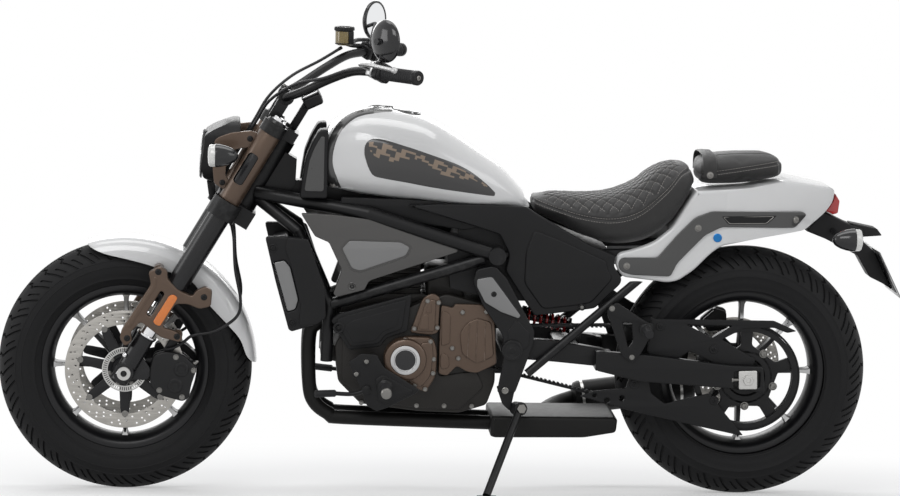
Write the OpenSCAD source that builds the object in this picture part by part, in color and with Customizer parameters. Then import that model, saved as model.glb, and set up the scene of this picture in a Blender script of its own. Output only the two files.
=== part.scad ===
// Cruiser motorcycle, parked on its side stand.
// Built upright in its own frame (X forward, Y to its left, Z up, ground at Z = 0),
// then leaned as a whole by parked().

/* [Stance] */
// Distance between the wheel centres
wheelbase = 1574; // [1312:1:1889]
// Lean of the parked machine towards its side stand, in degrees
lean = 9; // [7:0.5:11]
// Steering head angle from the vertical, in degrees
rake = 30.5; // [29:0.25:32]
// Distance of the steering axis behind the fork legs
fork_offset = 40; // [36:1:44]
// Height of the crown circle about which the tyres roll when leaning
crown_z = 70; // [65:1:75]

/* [Wheels] */
// Outer radius of the front tyre
front_tyre_r = 320; // [310:1:322]
// Width of the front tyre
front_tyre_w = 130; // [120:1:132]
// Outer radius of the rear tyre
rear_tyre_r = 323; // [313:1:326]
// Width of the rear tyre
rear_tyre_w = 150; // [140:1:152]
// Radius of the rim where the tyre sits
rim_r = 203; // [200:1:206]
// Inner radius of the rim barrel
rim_window_r = 179; // [170:1:186]
// Height of the rim lip over the tyre bead
rim_lip = 8; // [5:1:10]
// Number of spokes in each wheel
spoke_count = 8; // [6:1:10]
// Width of a spoke across the wheel
spoke_w = 44; // [30:1:50]
// Radius of the wheel hubs
hub_r = 45; // [40:1:50]
// Radius of the front axle
front_axle_r = 12; // [10:0.5:14.5]
// Radius of the hole through the front axle
front_axle_bore_r = 8; // [6:0.5:9]
// Radius of the rear axle
rear_axle_r = 11; // [9:0.5:13.5]

/* [Brakes] */
// Radius of the front discs
front_disc_r = 150; // [140:1:151]
// Radius of the rear disc
rear_disc_r = 120; // [110:1:124]
// Thickness of the discs
disc_t = 5; // [4:0.5:6]
// Distance of the front discs from the wheel's middle
front_disc_y = 75; // [73:0.5:76]
// Distance of the rear disc from the wheel's middle
rear_disc_y = 97; // [94:0.5:99]
// Gap between a disc and its caliper
pad_gap = 3; // [2:0.5:4]

/* [Fork] */
// Distance of each fork leg from the middle
leg_y = 105; // [103:0.5:110]
// Radius of the outer fork tubes
leg_r = 28; // [26:0.5:28.5]
// Radius of the inner fork tubes
slider_r = 20; // [17:0.5:22]
// Radius of the tubes inside the upper covers
cover_bore_r = 25; // [23:0.5:25.5]
// Radius of the steering stem
stem_r = 13; // [10:0.5:16]
// Outer radius of the steering head tube
head_r = 33; // [30:1:36]

/* [Handlebar] */
// Half of the handlebar's overall width
bar_half = 400; // [360:1:480]
// Radius of the handlebar tube
bar_r = 11; // [10:0.5:12.5]
// Radius of the grips
grip_r = 17; // [16:0.5:20]
// Radius of the mirrors
mirror_r = 52; // [42:1:62]

/* [Frame] */
// Half of the distance between the frame's upper tubes
frame_half = 110; // [109:0.5:111]
// Radius of the upper frame tubes
upper_tube_r = 17.5; // [15:0.5:18]
// Radius of the lower frame tubes
lower_tube_r = 15; // [12:0.5:15]
// Thickness of the pivot plates
plate_t = 15; // [10:1:18]
// Radius of the swingarm pivot shaft
pivot_r = 12; // [10:0.5:14.5]

/* [Drive] */
// Outer radius of the rear belt pulley
pulley_r = 133; // [120:1:136]
// Radius of the front belt pulley
front_pulley_r = 44; // [38:1:48]
// Width of the belt
belt_w = 22; // [18:1:24]
// Thickness of the belt
belt_t = 5; // [4:0.5:6]
// Distance of the belt from the middle
belt_y = 100; // [99:0.5:101]

/* [Side stand] */
// Radius of the stand's pivot pin
stand_pin_r = 7; // [5:0.5:9]
// Radius of the stand's leg
stand_leg_r = 10; // [8:0.5:12]
// Radius of the stand's foot
stand_foot_r = 24; // [18:1:28]
// How far outside the tyres' contact line the foot stands
stand_reach = 300; // [285:1:315]
// How far forward of its pivot the foot stands
stand_lead = 90; // [70:1:110]

/* [Bodywork] */
// Half of the tank's width
tank_half = 150; // [140:1:156]
// Half of the rider seat's width
seat_half = 140; // [125:1:146]
// Half of the passenger seat's width
pillion_half = 95; // [80:1:105]
// Half of the tail's width
tail_half = 112; // [110:1:116]

/* [Fits] */
// Gap between pieces that are seated on each other
fit = 0.3; // [0.2:0.1:0.6]
// Radial gap of a shaft that turns in its bore
run = 0.05; // [0.02:0.01:0.09]

/* [Hidden] */
$fn = 64;
// Wheelbase at which the side outlines are drawn; they stretch with the real one
drawn_wheelbase = 1574;
stretch = wheelbase / drawn_wheelbase;
front_x = wheelbase / 2;
rear_x = -wheelbase / 2;
// Place of the ground point under the middle of the leaned machine's box
origin_x = -38 * stretch;
origin_y = 164;

black = [0.06, 0.06, 0.065];
satin = [0.11, 0.11, 0.115];
bronze = [0.36, 0.28, 0.22];
silver = [0.72, 0.73, 0.74];
pearl = [0.80, 0.80, 0.79];
grey = [0.30, 0.30, 0.31];
rubber = [0.045, 0.045, 0.048];
leather = [0.09, 0.085, 0.085];

// ---------- Frames of reference ----------

// Leans everything about the tyres' crown circles and puts the origin under the middle
module parked()
    translate([-origin_x, -origin_y, crown_z])
        rotate([-lean, 0, 0])
            translate([0, 0, -crown_z])
                children();

// A point on the ground of the parked machine, given in the upright frame
function unpark(p) = [
    p.x,
    p.y * cos(lean) - (p.z - crown_z) * sin(lean),
    p.y * sin(lean) + (p.z - crown_z) * cos(lean) + crown_z
];

// Fork frame: origin at the front axle, Z up the fork legs, X forward
module fork_frame()
    translate([front_x, 0, front_tyre_r])
        rotate([0, -rake, 0])
            children();

// A point of the fork frame, in the upright frame
function from_fork(p) = [
    front_x + p.x * cos(rake) - p.z * sin(rake),
    p.y,
    front_tyre_r + p.x * sin(rake) + p.z * cos(rake)
];

module at_rear_axle() translate([rear_x, 0, rear_tyre_r]) children();
module at_front_axle() translate([front_x, 0, front_tyre_r]) children();

// Draws its children on the left and mirrored on the right
module both_sides() {
    children();
    mirror([0, 1, 0]) children();
}

// ---------- Simple solids ----------

// Round bar from a to b
module rod(a, b, r) {
    v = b - a;
    translate(a)
        rotate([0, acos(v.z / norm(v)), atan2(v.y, v.x)])
            cylinder(r = r, h = norm(v));
}

// How far the ball at a bend stands proud of its bars
bead = 0.4;

// Chain of round bars with ball joints
module bent_rod(points, r) {
    for (i = [1 : len(points) - 1]) rod(points[i - 1], points[i], r);
    for (i = [1 : len(points) - 2]) translate(points[i]) sphere(r = r + bead);
}

// Cylinder across the machine, from y0 to y1
module cross(x, z, r, y0, y1)
    translate([x, y1, z]) rotate([90, 0, 0]) cylinder(r = r, h = y1 - y0);

// Plate with an outline in side view, from y0 to y1
module plate(outline, y0, y1)
    translate([0, y1, 0]) rotate([90, 0, 0]) linear_extrude(y1 - y0) polygon(outline);

// Side outline of the chassis, stretched with the wheelbase
function side(points) = [for (p = points) [p.x * stretch, p.y]];

// Ring about the Y axis from y0 to y1
module ring(r_out, r_in, y0, y1)
    difference() {
        cross(0, 0, r_out, y0, y1);
        cross(0, 0, r_in, y0 - 1, y1 + 1);
    }

// ---------- Lofted skins ----------

loft_sides = 32;

function sgn_pow(v, e) = sign(v) * pow(abs(v), e);

// One cross-section at x: [x, half width, low z, high z, squareness]
function section(s, grow) =
    let (mid = (s[2] + s[3]) / 2, half = (s[3] - s[2]) / 2)
    [for (i = [0 : loft_sides - 1])
        let (a = 360 * i / loft_sides)
        [s[0],
         (s[1] + grow) * sgn_pow(cos(a), 2 / s[4]),
         mid + (half + grow) * sgn_pow(sin(a), 2 / s[4])]];

// Closed skin through sections listed from the rear to the front
module loft(sections, grow = 0) {
    n = len(sections);
    pts = [for (s = sections) each section(s, grow)];
    sides = [for (j = [0 : n - 2], i = [0 : loft_sides - 1])
        let (a = j * loft_sides + i, b = j * loft_sides + (i + 1) % loft_sides)
        each [[a, b, b + loft_sides], [a, b + loft_sides, a + loft_sides]]];
    rear = [for (i = [loft_sides - 1 : -1 : 0]) i];
    front = [for (i = [0 : loft_sides - 1]) (n - 1) * loft_sides + i];
    polyhedron(points = pts, faces = concat(sides, [rear], [front]));
}

// ---------- Swept cables ----------

function unit(v) = v / norm(v);
function tangent(p, i) = unit(p[min(i + 1, len(p) - 1)] - p[max(i - 1, 0)]);

// Point of a smooth curve through p at position t between p[i] and p[i + 1]
function curve_point(p, i, t) =
    let (a = p[max(i - 1, 0)], b = p[i], c = p[i + 1], d = p[min(i + 2, len(p) - 1)])
    0.5 * (2 * b + (c - a) * t + (2 * a - 5 * b + 4 * c - d) * t * t
        + (3 * b - a - 3 * c + d) * t * t * t);

function smooth_route(p, steps) = concat(
    [for (i = [0 : len(p) - 2], k = [0 : steps - 1]) curve_point(p, i, k / steps)],
    [p[len(p) - 1]]);

// Tube of radius r along the route p
module hose(p, r, steps = 2, hose_sides = 8) {
    route = smooth_route(p, steps);
    n = len(route);
    pts = [for (i = [0 : n - 1])
        let (t = tangent(route, i),
             u = unit(cross([0, 1, 0.01], t)),
             v = cross(t, u))
        for (k = [0 : hose_sides - 1])
            route[i] + r * (cos(360 * k / hose_sides) * u + sin(360 * k / hose_sides) * v)];
    walls = [for (j = [0 : n - 2], i = [0 : hose_sides - 1])
        let (a = j * hose_sides + i, b = j * hose_sides + (i + 1) % hose_sides)
        each [[b, a, b + hose_sides], [b + hose_sides, a, a + hose_sides]]];
    start = [for (i = [0 : hose_sides - 1]) i];
    end = [for (i = [hose_sides - 1 : -1 : 0]) (n - 1) * hose_sides + i];
    polyhedron(points = pts, faces = concat(walls, [start], [end]));
}

// ---------- Wheels ----------

function lip_y(tyre_w) = tyre_w * 0.32;
lip_t = 5;

// Half cross-section of a rim's lips, grown by g
module lip_section(tyre_w, g = 0)
    for (m = [0, 1]) mirror([0, m])
        translate([rim_r - 12, lip_y(tyre_w) - g])
            square([12 + rim_lip + g, lip_t + 2 * g]);

module tyre(outer_r, width) {
    crown_r = width / 2;
    rotate([90, 0, 0]) rotate_extrude() difference() {
        intersection() {
            translate([outer_r - crown_r, 0]) circle(r = crown_r);
            translate([rim_r, -width]) square([outer_r, 2 * width]);
        }
        lip_section(width, 0.02);
        // outside of the lips, down to the rim
        for (m = [0, 1]) mirror([0, m])
            translate([0, lip_y(width) + lip_t]) square([rim_r + rim_lip, width]);
    }
}

spoke_root_t = 17;
spoke_tip_t = 11;

module rim(tyre_w, hub_half, bore_r) {
    barrel_half = lip_y(tyre_w) + lip_t;
    difference() {
        union() {
            rotate([90, 0, 0]) rotate_extrude() {
                polygon([
                    [rim_r - 0.02, -lip_y(tyre_w)], [rim_r - 0.02, lip_y(tyre_w)],
                    [rim_r - 12, barrel_half], [rim_window_r + 8, barrel_half - 12],
                    [rim_window_r, spoke_w / 2], [rim_window_r, -spoke_w / 2],
                    [rim_window_r + 8, -barrel_half + 12], [rim_r - 12, -barrel_half]
                ]);
                lip_section(tyre_w);
            }
            for (i = [0 : spoke_count - 1])
                rotate([0, 360 * i / spoke_count, 0])
                    plate([
                        [-spoke_root_t / 2, hub_r - 4], [spoke_root_t / 2, hub_r - 4],
                        [spoke_tip_t / 2, rim_window_r + 3], [-spoke_tip_t / 2, rim_window_r + 3]
                    ], 1 - spoke_w / 2, spoke_w / 2 - 1);
            cross(0, 0, hub_r, -hub_half, hub_half);
        }
        cross(0, 0, bore_r, -hub_half - 1, hub_half + 1);
    }
}

front_hub_half = front_disc_y - disc_t / 2;
rear_hub_half = 72;
nose_r = 30;
nose_l = 4;

module front_tyre() color(rubber) parked() at_front_axle() tyre(front_tyre_r, front_tyre_w);
module rear_tyre() color(rubber) parked() at_rear_axle() tyre(rear_tyre_r, rear_tyre_w);
module front_rim() color(satin) parked() at_front_axle()
    rim(front_tyre_w, front_hub_half, front_axle_r + run);
module rear_rim() color(satin) parked() at_rear_axle()
    rim(rear_tyre_w, rear_hub_half, rear_axle_r + run);

disc_arms = 7;
disc_band = 36;

// Brake disc on its carrier, from y0 outwards
module disc(r, bore_r, y0) {
    arm_r = r - disc_band;
    difference() {
        union() {
            ring(r, arm_r, y0, y0 + disc_t);
            ring(bore_r + 14, bore_r, y0, y0 + disc_t);
            for (i = [0 : disc_arms - 1])
                rotate([0, 360 * i / disc_arms + 12, 0])
                    plate([[-9, bore_r + 6], [9, bore_r + 6], [7, arm_r + 6], [-7, arm_r + 6]],
                        y0 + 0.5, y0 + disc_t - 0.5);
        }
        cross(0, 0, bore_r, y0 - 1, y0 + disc_t + 1);
    }
}

sensor_ring_t = 2;

module front_discs() color(silver) parked() at_front_axle() {
    both_sides() {
        disc(front_disc_r, nose_r + fit, front_hub_half);
        ring(nose_r, front_axle_r + run, front_hub_half, front_hub_half + disc_t + nose_l - 1);
    }
    ring(57, 42, front_hub_half + disc_t, front_hub_half + disc_t + sensor_ring_t);
}

pulley_bore_r = 36;
rear_disc_in = rear_disc_y - disc_t / 2;

module rear_pulley() color(satin) parked() at_rear_axle() {
    y0 = belt_y - belt_w / 2 - 1;
    y1 = belt_y + belt_w / 2 + 1;
    difference() {
        union() {
            ring(pulley_r, pulley_r - 14, y0, y1);
            ring(88, 62, y0 + 6, y1 - 6);
            for (i = [0 : 4])
                rotate([0, 72 * i + 18, 0])
                    plate([[-20, 80], [20, 80], [14, pulley_r - 10], [-14, pulley_r - 10]],
                        y0 + 6, y1 - 6);
            ring(70, rear_axle_r + 8, y0 + 2, y1 - 6);
            ring(60, rear_axle_r + 8, rear_hub_half, y0 + 3);
        }
        cross(0, 0, rear_axle_r + 8, rear_hub_half - 1, y1 + 1);
    }
}

module rear_disc() color(silver) parked() at_rear_axle() mirror([0, 1, 0]) {
    disc(rear_disc_r, pulley_bore_r, rear_disc_in);
    ring(pulley_bore_r + 8, rear_axle_r + 8, rear_hub_half, rear_disc_in);
}

// ---------- Front axle and fork ----------

fork_bottom_s = -30;
slider_low_s = 60;
slider_top_s = 215;
lower_clamp_s = 460;
clamp_t = 46;
upper_clamp_s = 704;
upper_clamp_t = 30;
fork_top_s = 742;
clamp_wall = 10;
axle_half = leg_y + 32;
lug_in_y = 86;

module front_axle() color(silver) parked() at_front_axle()
    difference() {
        union() {
            cross(0, 0, front_axle_r, -axle_half, axle_half);
            both_sides() cross(0, 0, front_axle_r + 5, axle_half - 8, axle_half);
        }
        cross(0, 0, front_axle_bore_r, -axle_half - 1, axle_half + 1);
    }

// Black bottoms, inner tubes, outer tubes and caps of both legs
module fork_legs() color(black) parked() difference() {
    fork_frame() both_sides() {
        translate([0, leg_y, fork_bottom_s]) cylinder(r = slider_r + 4, h = slider_low_s - fork_bottom_s);
        translate([0, leg_y, slider_low_s]) cylinder(r = slider_r, h = slider_top_s - slider_low_s);
        translate([0, leg_y, slider_top_s]) cylinder(r = leg_r, h = lower_clamp_s + clamp_t - slider_top_s);
        translate([0, leg_y, lower_clamp_s]) cylinder(r = cover_bore_r, h = fork_top_s - lower_clamp_s);
        // foot round the axle and arm to the caliper
        cross(0, 0, front_axle_r + 14, lug_in_y - 4, leg_y + 22);
        plate([[-8, -20], [-60, 8], [-66, 34], [-8, 58]], lug_in_y, lug_in_y + 12);
    }
    at_front_axle() cross(0, 0, front_axle_r + run, -axle_half - 1, axle_half + 1);
    // room for the axle's heads
    at_front_axle() both_sides() cross(0, 0, front_axle_r + 5 + run, axle_half - 8, axle_half + 1);
}

fork_bracket_outline = [
    [80, 252], [62, 280], [41, 280], [30, 262], [-6, 252], [-45, 256], [-45, 272], [-58, 294],
    [-79, 296], [-98, 259], [-77, 238], [-46, 234], [-19, 218], [-21, 151], [-58, 160],
    [-77, 158], [-80, 141], [-32, 127], [32, 135], [39, 98], [24, 82], [33, 60], [55, 72],
    [62, 93], [61, 109], [58, 228], [68, 240]
];
bracket_in_y = 112;
bracket_out_y = 138;
fender_lugs = [[59, 266], [-71, 270]];
caliper_lug = [-65, 150];

headlight_arm_outline = [
    [109, 618], [104, 630], [84, 655], [43, 686], [20, 690], [20, 651], [42, 635], [57, 621],
    [51, 577], [39, 554], [15, 550], [15, 523], [54, 524], [77, 555]
];
headlight_half = 95;

// Bronze covers between the clamps with the headlight's arms, and the lower brackets
module fork_covers() color(bronze) parked() fork_frame() both_sides() {
    cover_low = lower_clamp_s + clamp_t + fit;
    difference() {
        union() {
            translate([0, leg_y, cover_low]) cylinder(r = leg_r, h = upper_clamp_s - fit - cover_low);
            plate(headlight_arm_outline, leg_y - 9, leg_y + 1);
        }
        translate([0, leg_y, cover_low - 1])
            cylinder(r = cover_bore_r + run, h = upper_clamp_s - cover_low + 2);
        // long slot in the outer side
        translate([-6, leg_y, 552]) cube([26, leg_r + 1, 92]);
    }
    difference() {
        union() {
            plate(fork_bracket_outline, bracket_in_y, bracket_out_y);
            for (p = fender_lugs) cross(p.x, p.y, 13, fender_half + fit, bracket_in_y + 1);
            cross(caliper_lug.x, caliper_lug.y, 13, 92, bracket_in_y + 1);
        }
        translate([0, leg_y, 0]) cylinder(r = slider_r + run, h = slider_top_s + 1);
        translate([0, leg_y, 0]) cylinder(r = slider_r + 4 + run, h = slider_low_s);
        translate([0, leg_y, slider_top_s - fit]) cylinder(r = leg_r + run, h = 200);
    }
}

// Lower clamp with the steering stem, and upper clamp
module fork_clamps() color(black) parked() fork_frame() difference() {
    union() {
        both_sides() {
            translate([0, leg_y, lower_clamp_s]) cylinder(r = leg_r + clamp_wall, h = clamp_t);
            translate([0, leg_y, upper_clamp_s]) cylinder(r = leg_r + 4, h = upper_clamp_t);
        }
        translate([-fork_offset - 38, -62, lower_clamp_s]) cube([70, 124, clamp_t]);
        translate([-28, -leg_y, lower_clamp_s]) cube([56, 2 * leg_y, clamp_t]);
        translate([-fork_offset - 26, -58, upper_clamp_s]) cube([58, 116, upper_clamp_t]);
        translate([-20, -leg_y, upper_clamp_s]) cube([36, 2 * leg_y, upper_clamp_t]);
        translate([-fork_offset, 0, lower_clamp_s]) cylinder(r = stem_r, h = fork_top_s - lower_clamp_s);
    }
    both_sides() {
        translate([0, leg_y, lower_clamp_s - 1]) cylinder(r = leg_r + run, h = clamp_t + 1);
        translate([0, leg_y, lower_clamp_s]) cylinder(r = cover_bore_r + run, h = 300);
    }
}

caliper_outline = [
    [-40, 74], [-66, 100], [-105, 115], [-154, 103], [-164, 56], [-176, 25], [-167, 8],
    [-109, -8], [-73, 2], [-52, 34]
];
caliper_in_y = 57;
caliper_out_y = 106;

module front_calipers() color(black) parked() fork_frame() both_sides() difference() {
    union() {
        plate(caliper_outline, caliper_in_y, caliper_out_y);
        // ear to the bracket's lug
        plate([[-54, 90], [-80, 104], [-78, 158], [-56, 162]], 83, 91.7);
    }
    cross(0, 0, front_disc_r + pad_gap, front_disc_y - disc_t / 2 - pad_gap, front_disc_y + disc_t / 2 + pad_gap);
    // seat of the arm on the fork bottom
    plate([[-7, -22], [-62, 6], [-68, 36], [-7, 62]], lug_in_y - fit, lug_in_y + 12 + fit);
    translate([0, leg_y, fork_bottom_s]) cylinder(r = slider_r + 4 + fit, h = 120);
}

fender_in_r = 328;
fender_t = 5;
fender_half = 75;
fender_outline = [
    [-338, 18], [-333, 34], [-331, 78], [-304, 162], [-259, 230], [-203, 274], [-155, 304],
    [-73, 334], [4, 346], [85, 336], [98, 327], [94, 310], [55, 293], [-52, 268], [-117, 247],
    [-173, 226], [-204, 174], [-261, 113], [-292, 78], [-305, 38], [-327, 21]
];

// Half cross-section of the fender: radius and distance from the middle
function fender_section(r, half) = [
    [r - 80, half], [r - 26, half], [r - 10, half - 9], [r - 2, half - 27], [r, half - 50],
    [r, -half + 50], [r - 2, -half + 27], [r - 10, -half + 9], [r - 26, -half], [r - 80, -half]
];

module front_fender() color(pearl) parked() difference() {
    at_front_axle() intersection() {
        rotate([90, 0, 0]) rotate_extrude() difference() {
            polygon(fender_section(fender_in_r + fender_t, fender_half));
            polygon(fender_section(fender_in_r, fender_half - fender_t));
        }
        plate(fender_outline, -fender_half - 1, fender_half + 1);
    }
    fork_frame() both_sides() translate([0, leg_y, 0]) cylinder(r = leg_r + fit, h = upper_clamp_s);
}

// ---------- Headlight, signals and instrument ----------

headlight_outline = [
    [52, 520], [58, 512], [84, 516], [110, 553], [136, 602], [137, 614], [122, 640], [80, 690],
    [66, 694], [60, 660]
];

module headlight() color(black) parked() fork_frame() {
    plate(headlight_outline, -headlight_half, headlight_half);
    both_sides() cross(92, 600, 9, headlight_half, leg_y - 9 - fit);
    // stay to the lower clamp
    plate([[36, 470], [70, 512], [58, 513], [52, 522], [29, 490]], -14, 14);
}

signal_r = 29;

// Bullet-shaped signal, lens facing +X
module signal() rotate([0, 90, 0]) rotate_extrude()
    polygon([[0, -38], [12, -34], [22, -18], [signal_r, 12], [signal_r, 30], [22, 35], [0, 37]]);

front_signal = [77, 205, 606];

module front_signals() color(black) parked() fork_frame() both_sides() {
    translate(front_signal) rotate([0, rake, 0]) signal();
    cross(82, 602, 8, leg_y + 1 + fit, front_signal.y - 15);
}

module instrument() color(black) parked() fork_frame() {
    translate([-52, 0, 824]) rotate([0, rake + 25, 0]) difference() {
        translate([-24, -52, -16]) cube([48, 104, 32]);
        translate([-20, -46, 12]) cube([40, 92, 5]);
    }
    translate([-58, -12, fork_top_s + fit]) cube([22, 24, 64]);
}

// ---------- Handlebar ----------

bar_mid = [10, 0, 798];
bar_route = [
    [10, 34, 798], [10, 64, 800], [-14, 112, 836], [-50, 172, 900], [-84, 230, 950],
    [-118, bar_half - 122, 976]
];
bar_end = [-206, bar_half, 1026];
bar_dir = unit(bar_end - bar_route[5]);

// Puts the X axis of its children along the grip, outwards from distance d
module along_grip(d)
    translate(bar_route[5] + d * bar_dir)
        rotate([0, 0, atan2(bar_dir.y, bar_dir.x)])
            rotate([0, -asin(bar_dir.z), 0])
                children();

module handlebar() color(black) parked() fork_frame() {
    last = len(bar_route) - 1;
    hose([for (i = [last : -1 : 0]) [bar_route[i].x, -bar_route[i].y, bar_route[i].z], each bar_route],
        bar_r, 2, 16);
    both_sides() {
        translate(bar_route[last]) sphere(r = bar_r + bead);
        rod(bar_route[last], bar_end, bar_r);
    }
    riser_low = upper_clamp_s + upper_clamp_t + fit;
    both_sides() difference() {
        translate([-6, 34, riser_low]) cube([32, 26, bar_mid.z - riser_low + 20]);
        translate([bar_mid.x, 0, bar_mid.z]) rotate([-90, 0, 0]) cylinder(r = bar_r + run, h = 100);
    }
}

grip_start = 56;

module grips() color(rubber) parked() fork_frame() both_sides() {
    length = norm(bar_end - bar_route[5]);
    along_grip(grip_start) rotate([0, 90, 0]) difference() {
        cylinder(r = grip_r, h = length - grip_start);
        translate([0, 0, -1]) cylinder(r = bar_r + run, h = length - grip_start + 2);
    }
    along_grip(length + fit) rotate([0, 90, 0]) cylinder(r = grip_r + 1, h = 14);
}

// Switch housings, lever perches, levers and the brake reservoir
module bar_controls() color(black) parked() fork_frame() {
    both_sides() along_grip(0) difference() {
        union() {
            translate([28, -24, -20]) cube([grip_start - 28 - fit, 46, 44]);
            translate([perch_x, -22, -16]) cube([20, 40, perch_top + 16]);
            // lever ahead of the grip
            rod([14, -18, 0], [22, -58, -4], 8);
            rod([22, -56, -4], [70, -72, -6], 7);
            rod([66, -71, -6], [158, -64, -10], 6);
        }
        translate([-20, 0, 0]) rotate([0, 90, 0]) cylinder(r = bar_r + run, h = 100);
    }
    // brake reservoir beside the right perch
    translate([-64, 174 - bar_half, 970]) rotate([0, rake, 0]) {
        cylinder(r = 24, h = 40);
        translate([0, 0, 40]) cylinder(r = 26, h = 8);
    }
    difference() {
        rod([-66, 172 - bar_half, 976], [-108, 116 - bar_half, 990], 6);
        mirror([0, 1, 0]) along_grip(0) translate([perch_x, -22, -16]) cube([20, 40, perch_top + 16]);
    }
}

// Inner end and top of the lever perches, along the grip
perch_x = 6;
perch_top = 18;

mirror_head = [-104, bar_half - 58, 1060];

// Round mirrors on bent stems, turned towards the rider
module mirrors() color(black) parked() fork_frame() both_sides() {
    along_grip(0) {
        translate([perch_x + 9, 6, perch_top + fit]) cylinder(r = 7, h = 14);
        rod([perch_x + 9, 6, perch_top + 12], [perch_x + 24, -14, perch_top + 40], 5);
        rod([perch_x + 23, -13, perch_top + 38], [64, -38, perch_top + 44], 5);
    }
    translate(mirror_head) rotate([0, rake, 0]) rotate([0, 0, 35]) rotate([0, -90, 0])
        rotate_extrude() polygon([[0, 8], [mirror_r - 3, 8], [mirror_r, 5], [mirror_r, 0],
            [mirror_r - 14, -12], [0, -18]]);
}

// Control lines pass between the clamps and the headlight to the lower clamp
line_route = [[42, 64, 770], [43, 50, 700], [43, 48, 600], [38, 48, 540], [24, 48, 507.4]];
left_line_route = concat(
    [[-105.5, 291, 978.5], [-69, 240, 944], [-34, 186, 895], [12, 120, 842]], line_route);
right_line_route = concat([[-62, 232, 961], [-30, 200, 905], [16, 120, 840]], line_route);
// Brake line from the lower clamp down behind a leg to its caliper
brake_line_route = [
    [-34, 66, 458], [-60, 84, 430], [-104, 96, 365], [-156, 104, 305], [-168, 106, 262],
    [-140, 106, 205], [-100, 104, 168], [-88, 101, 138], [-75, 98, 115], [-61.6, 98, 101.6]
];
hose_r = 4;

module hoses() color(black) parked() fork_frame() {
    hose(left_line_route, hose_r);
    mirror([0, 1, 0]) hose(right_line_route, hose_r);
    both_sides() hose(brake_line_route, hose_r);
}

// ---------- Frame ----------

head_low_s = lower_clamp_s + clamp_t + 0.5;
head_top_s = upper_clamp_s - 0.5;
boss = [-143 * stretch, frame_half + 10, 630];
boss_r = 22;
upper_knee = [181 * stretch, frame_half - 4, 730];
lug_joint = [276 * stretch, 88, 493];

// Upper tubes with radius grown by g, from the head tube back to the bosses
module upper_tubes(g = 0)
    both_sides() {
        bent_rod([boss, upper_knee, from_fork([-fork_offset - 12, 30, 552])], upper_tube_r + g);
        cross(boss.x, boss.z, boss_r + g, frame_half - 12, frame_half + 34);
    }

// Front end of the backbone, in the gusset
backbone_x = front_x - 389;

module main_frame() color(black) parked() difference() {
    union() {
        fork_frame() translate([-fork_offset, 0, head_low_s])
            cylinder(r = head_r, h = head_top_s - head_low_s);
        upper_tubes();
        // gusset behind the head tube, and the backbone that carries the tank
        fork_frame() plate([[-50, 548], [-50, 676], [-96, 676], [-126, 620], [-120, 560]], -24, 24);
        plate(concat(
            [[backbone_x, 800], [backbone_x, 745]], side([[150, 735]]),
            [for (i = [7 : 11]) [tank_sections[i][0], tank_sections[i][2] - fit]],
            side([[320, 800]])), -20, 20);
    }
    fork_frame() translate([-fork_offset, 0, head_low_s - 60])
        cylinder(r = stem_r + run, h = head_top_s - head_low_s + 120);
    // clearance for the lower clamp as it turns
    fork_frame() translate([-fork_offset, 0, head_low_s - 100]) cylinder(r = 110, h = 100);
}

// Front down tubes with radius grown by g, ending at the engine's front lugs
module down_shape(g = 0)
    both_sides()
        bent_rod([
            from_fork([-fork_offset - 24, 24, 540]), [356 * stretch, 74, 679],
            lug_joint, [280 * stretch, 88, 350]
        ], lower_tube_r + g);

module down_tubes() color(black) parked() difference() {
    down_shape();
    upper_tubes(fit);
    fork_frame() translate([-fork_offset, 0, head_low_s - 100]) cylinder(r = head_r + fit, h = 400);
    fork_frame() translate([-fork_offset, 0, head_low_s - 100]) cylinder(r = 110, h = 100);
}

// Lower side tubes with radius grown by g
module side_shape(g = 0)
    both_sides() rod(lug_joint, [-112 * stretch, frame_half, 619], lower_tube_r + g);

module side_tubes() color(black) parked() difference() {
    side_shape();
    down_shape(fit);
    upper_tubes(fit);
}

plate_in_y = frame_half + 15;
plate_out_y = plate_in_y + plate_t;
pivot = [-186 * stretch, 0, 392];
shock_top = [-196 * stretch, 0, 468];

pivot_plate_outline = side([
    [-92, 596], [-137, 606], [-168, 574], [-242, 439], [-238, 403], [-196, 281], [-151, 281],
    [-166, 372], [-162, 428], [-110, 503], [-84, 563]
]);

stand_pivot = [-207 * stretch, 132, 241];

// Unit vectors of the side stand: down to its foot, folded back, and its hinge
stand_foot = unpark([stand_pivot.x + stand_lead, stand_reach, 8]);
stand_down = unit(stand_foot - stand_pivot);
stand_up = unit([-0.98, 0.12, -0.10]);
stand_turn = stand_down - stand_up;
stand_axis = unit([0, 1, 0] - stand_turn.y / (stand_turn * stand_turn) * stand_turn);

stand_boss_r = 17;
stand_ear_t = 16;

module stand_frame(from)
    translate(stand_pivot)
        rotate([0, acos(stand_axis.z), atan2(stand_axis.y, stand_axis.x)])
            translate([0, 0, from])
                children();

// Pivot plates, the cross tube for the shock, and the side stand's bracket with its pin
module pivot_plates() color(black) parked() {
    difference() {
        union() {
            both_sides() plate(pivot_plate_outline, plate_in_y, plate_out_y);
            cross(shock_top.x, shock_top.z, 13, -plate_in_y, plate_in_y);
            difference() {
                plate(side([[-199, 290], [-150, 290], [-168, 236], [-190, 222], [-212, 226], [-218, 246]]),
                    plate_in_y - 12, plate_out_y - 4);
                stand_frame(0) cylinder(r = 60, h = 80);
            }
            stand_frame(-20) cylinder(r = stand_boss_r, h = 20);
            stand_frame(-20) cylinder(r = stand_pin_r, h = 20 + stand_ear_t + 2);
            stand_frame(stand_ear_t + fit) cylinder(r = stand_pin_r + 5, h = 5);
        }
        upper_tubes(fit);
        side_shape(fit);
        both_sides() cross(pivot.x, pivot.z, pivot_r + run, plate_in_y - 1, plate_out_y + 1);
    }
}

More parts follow.
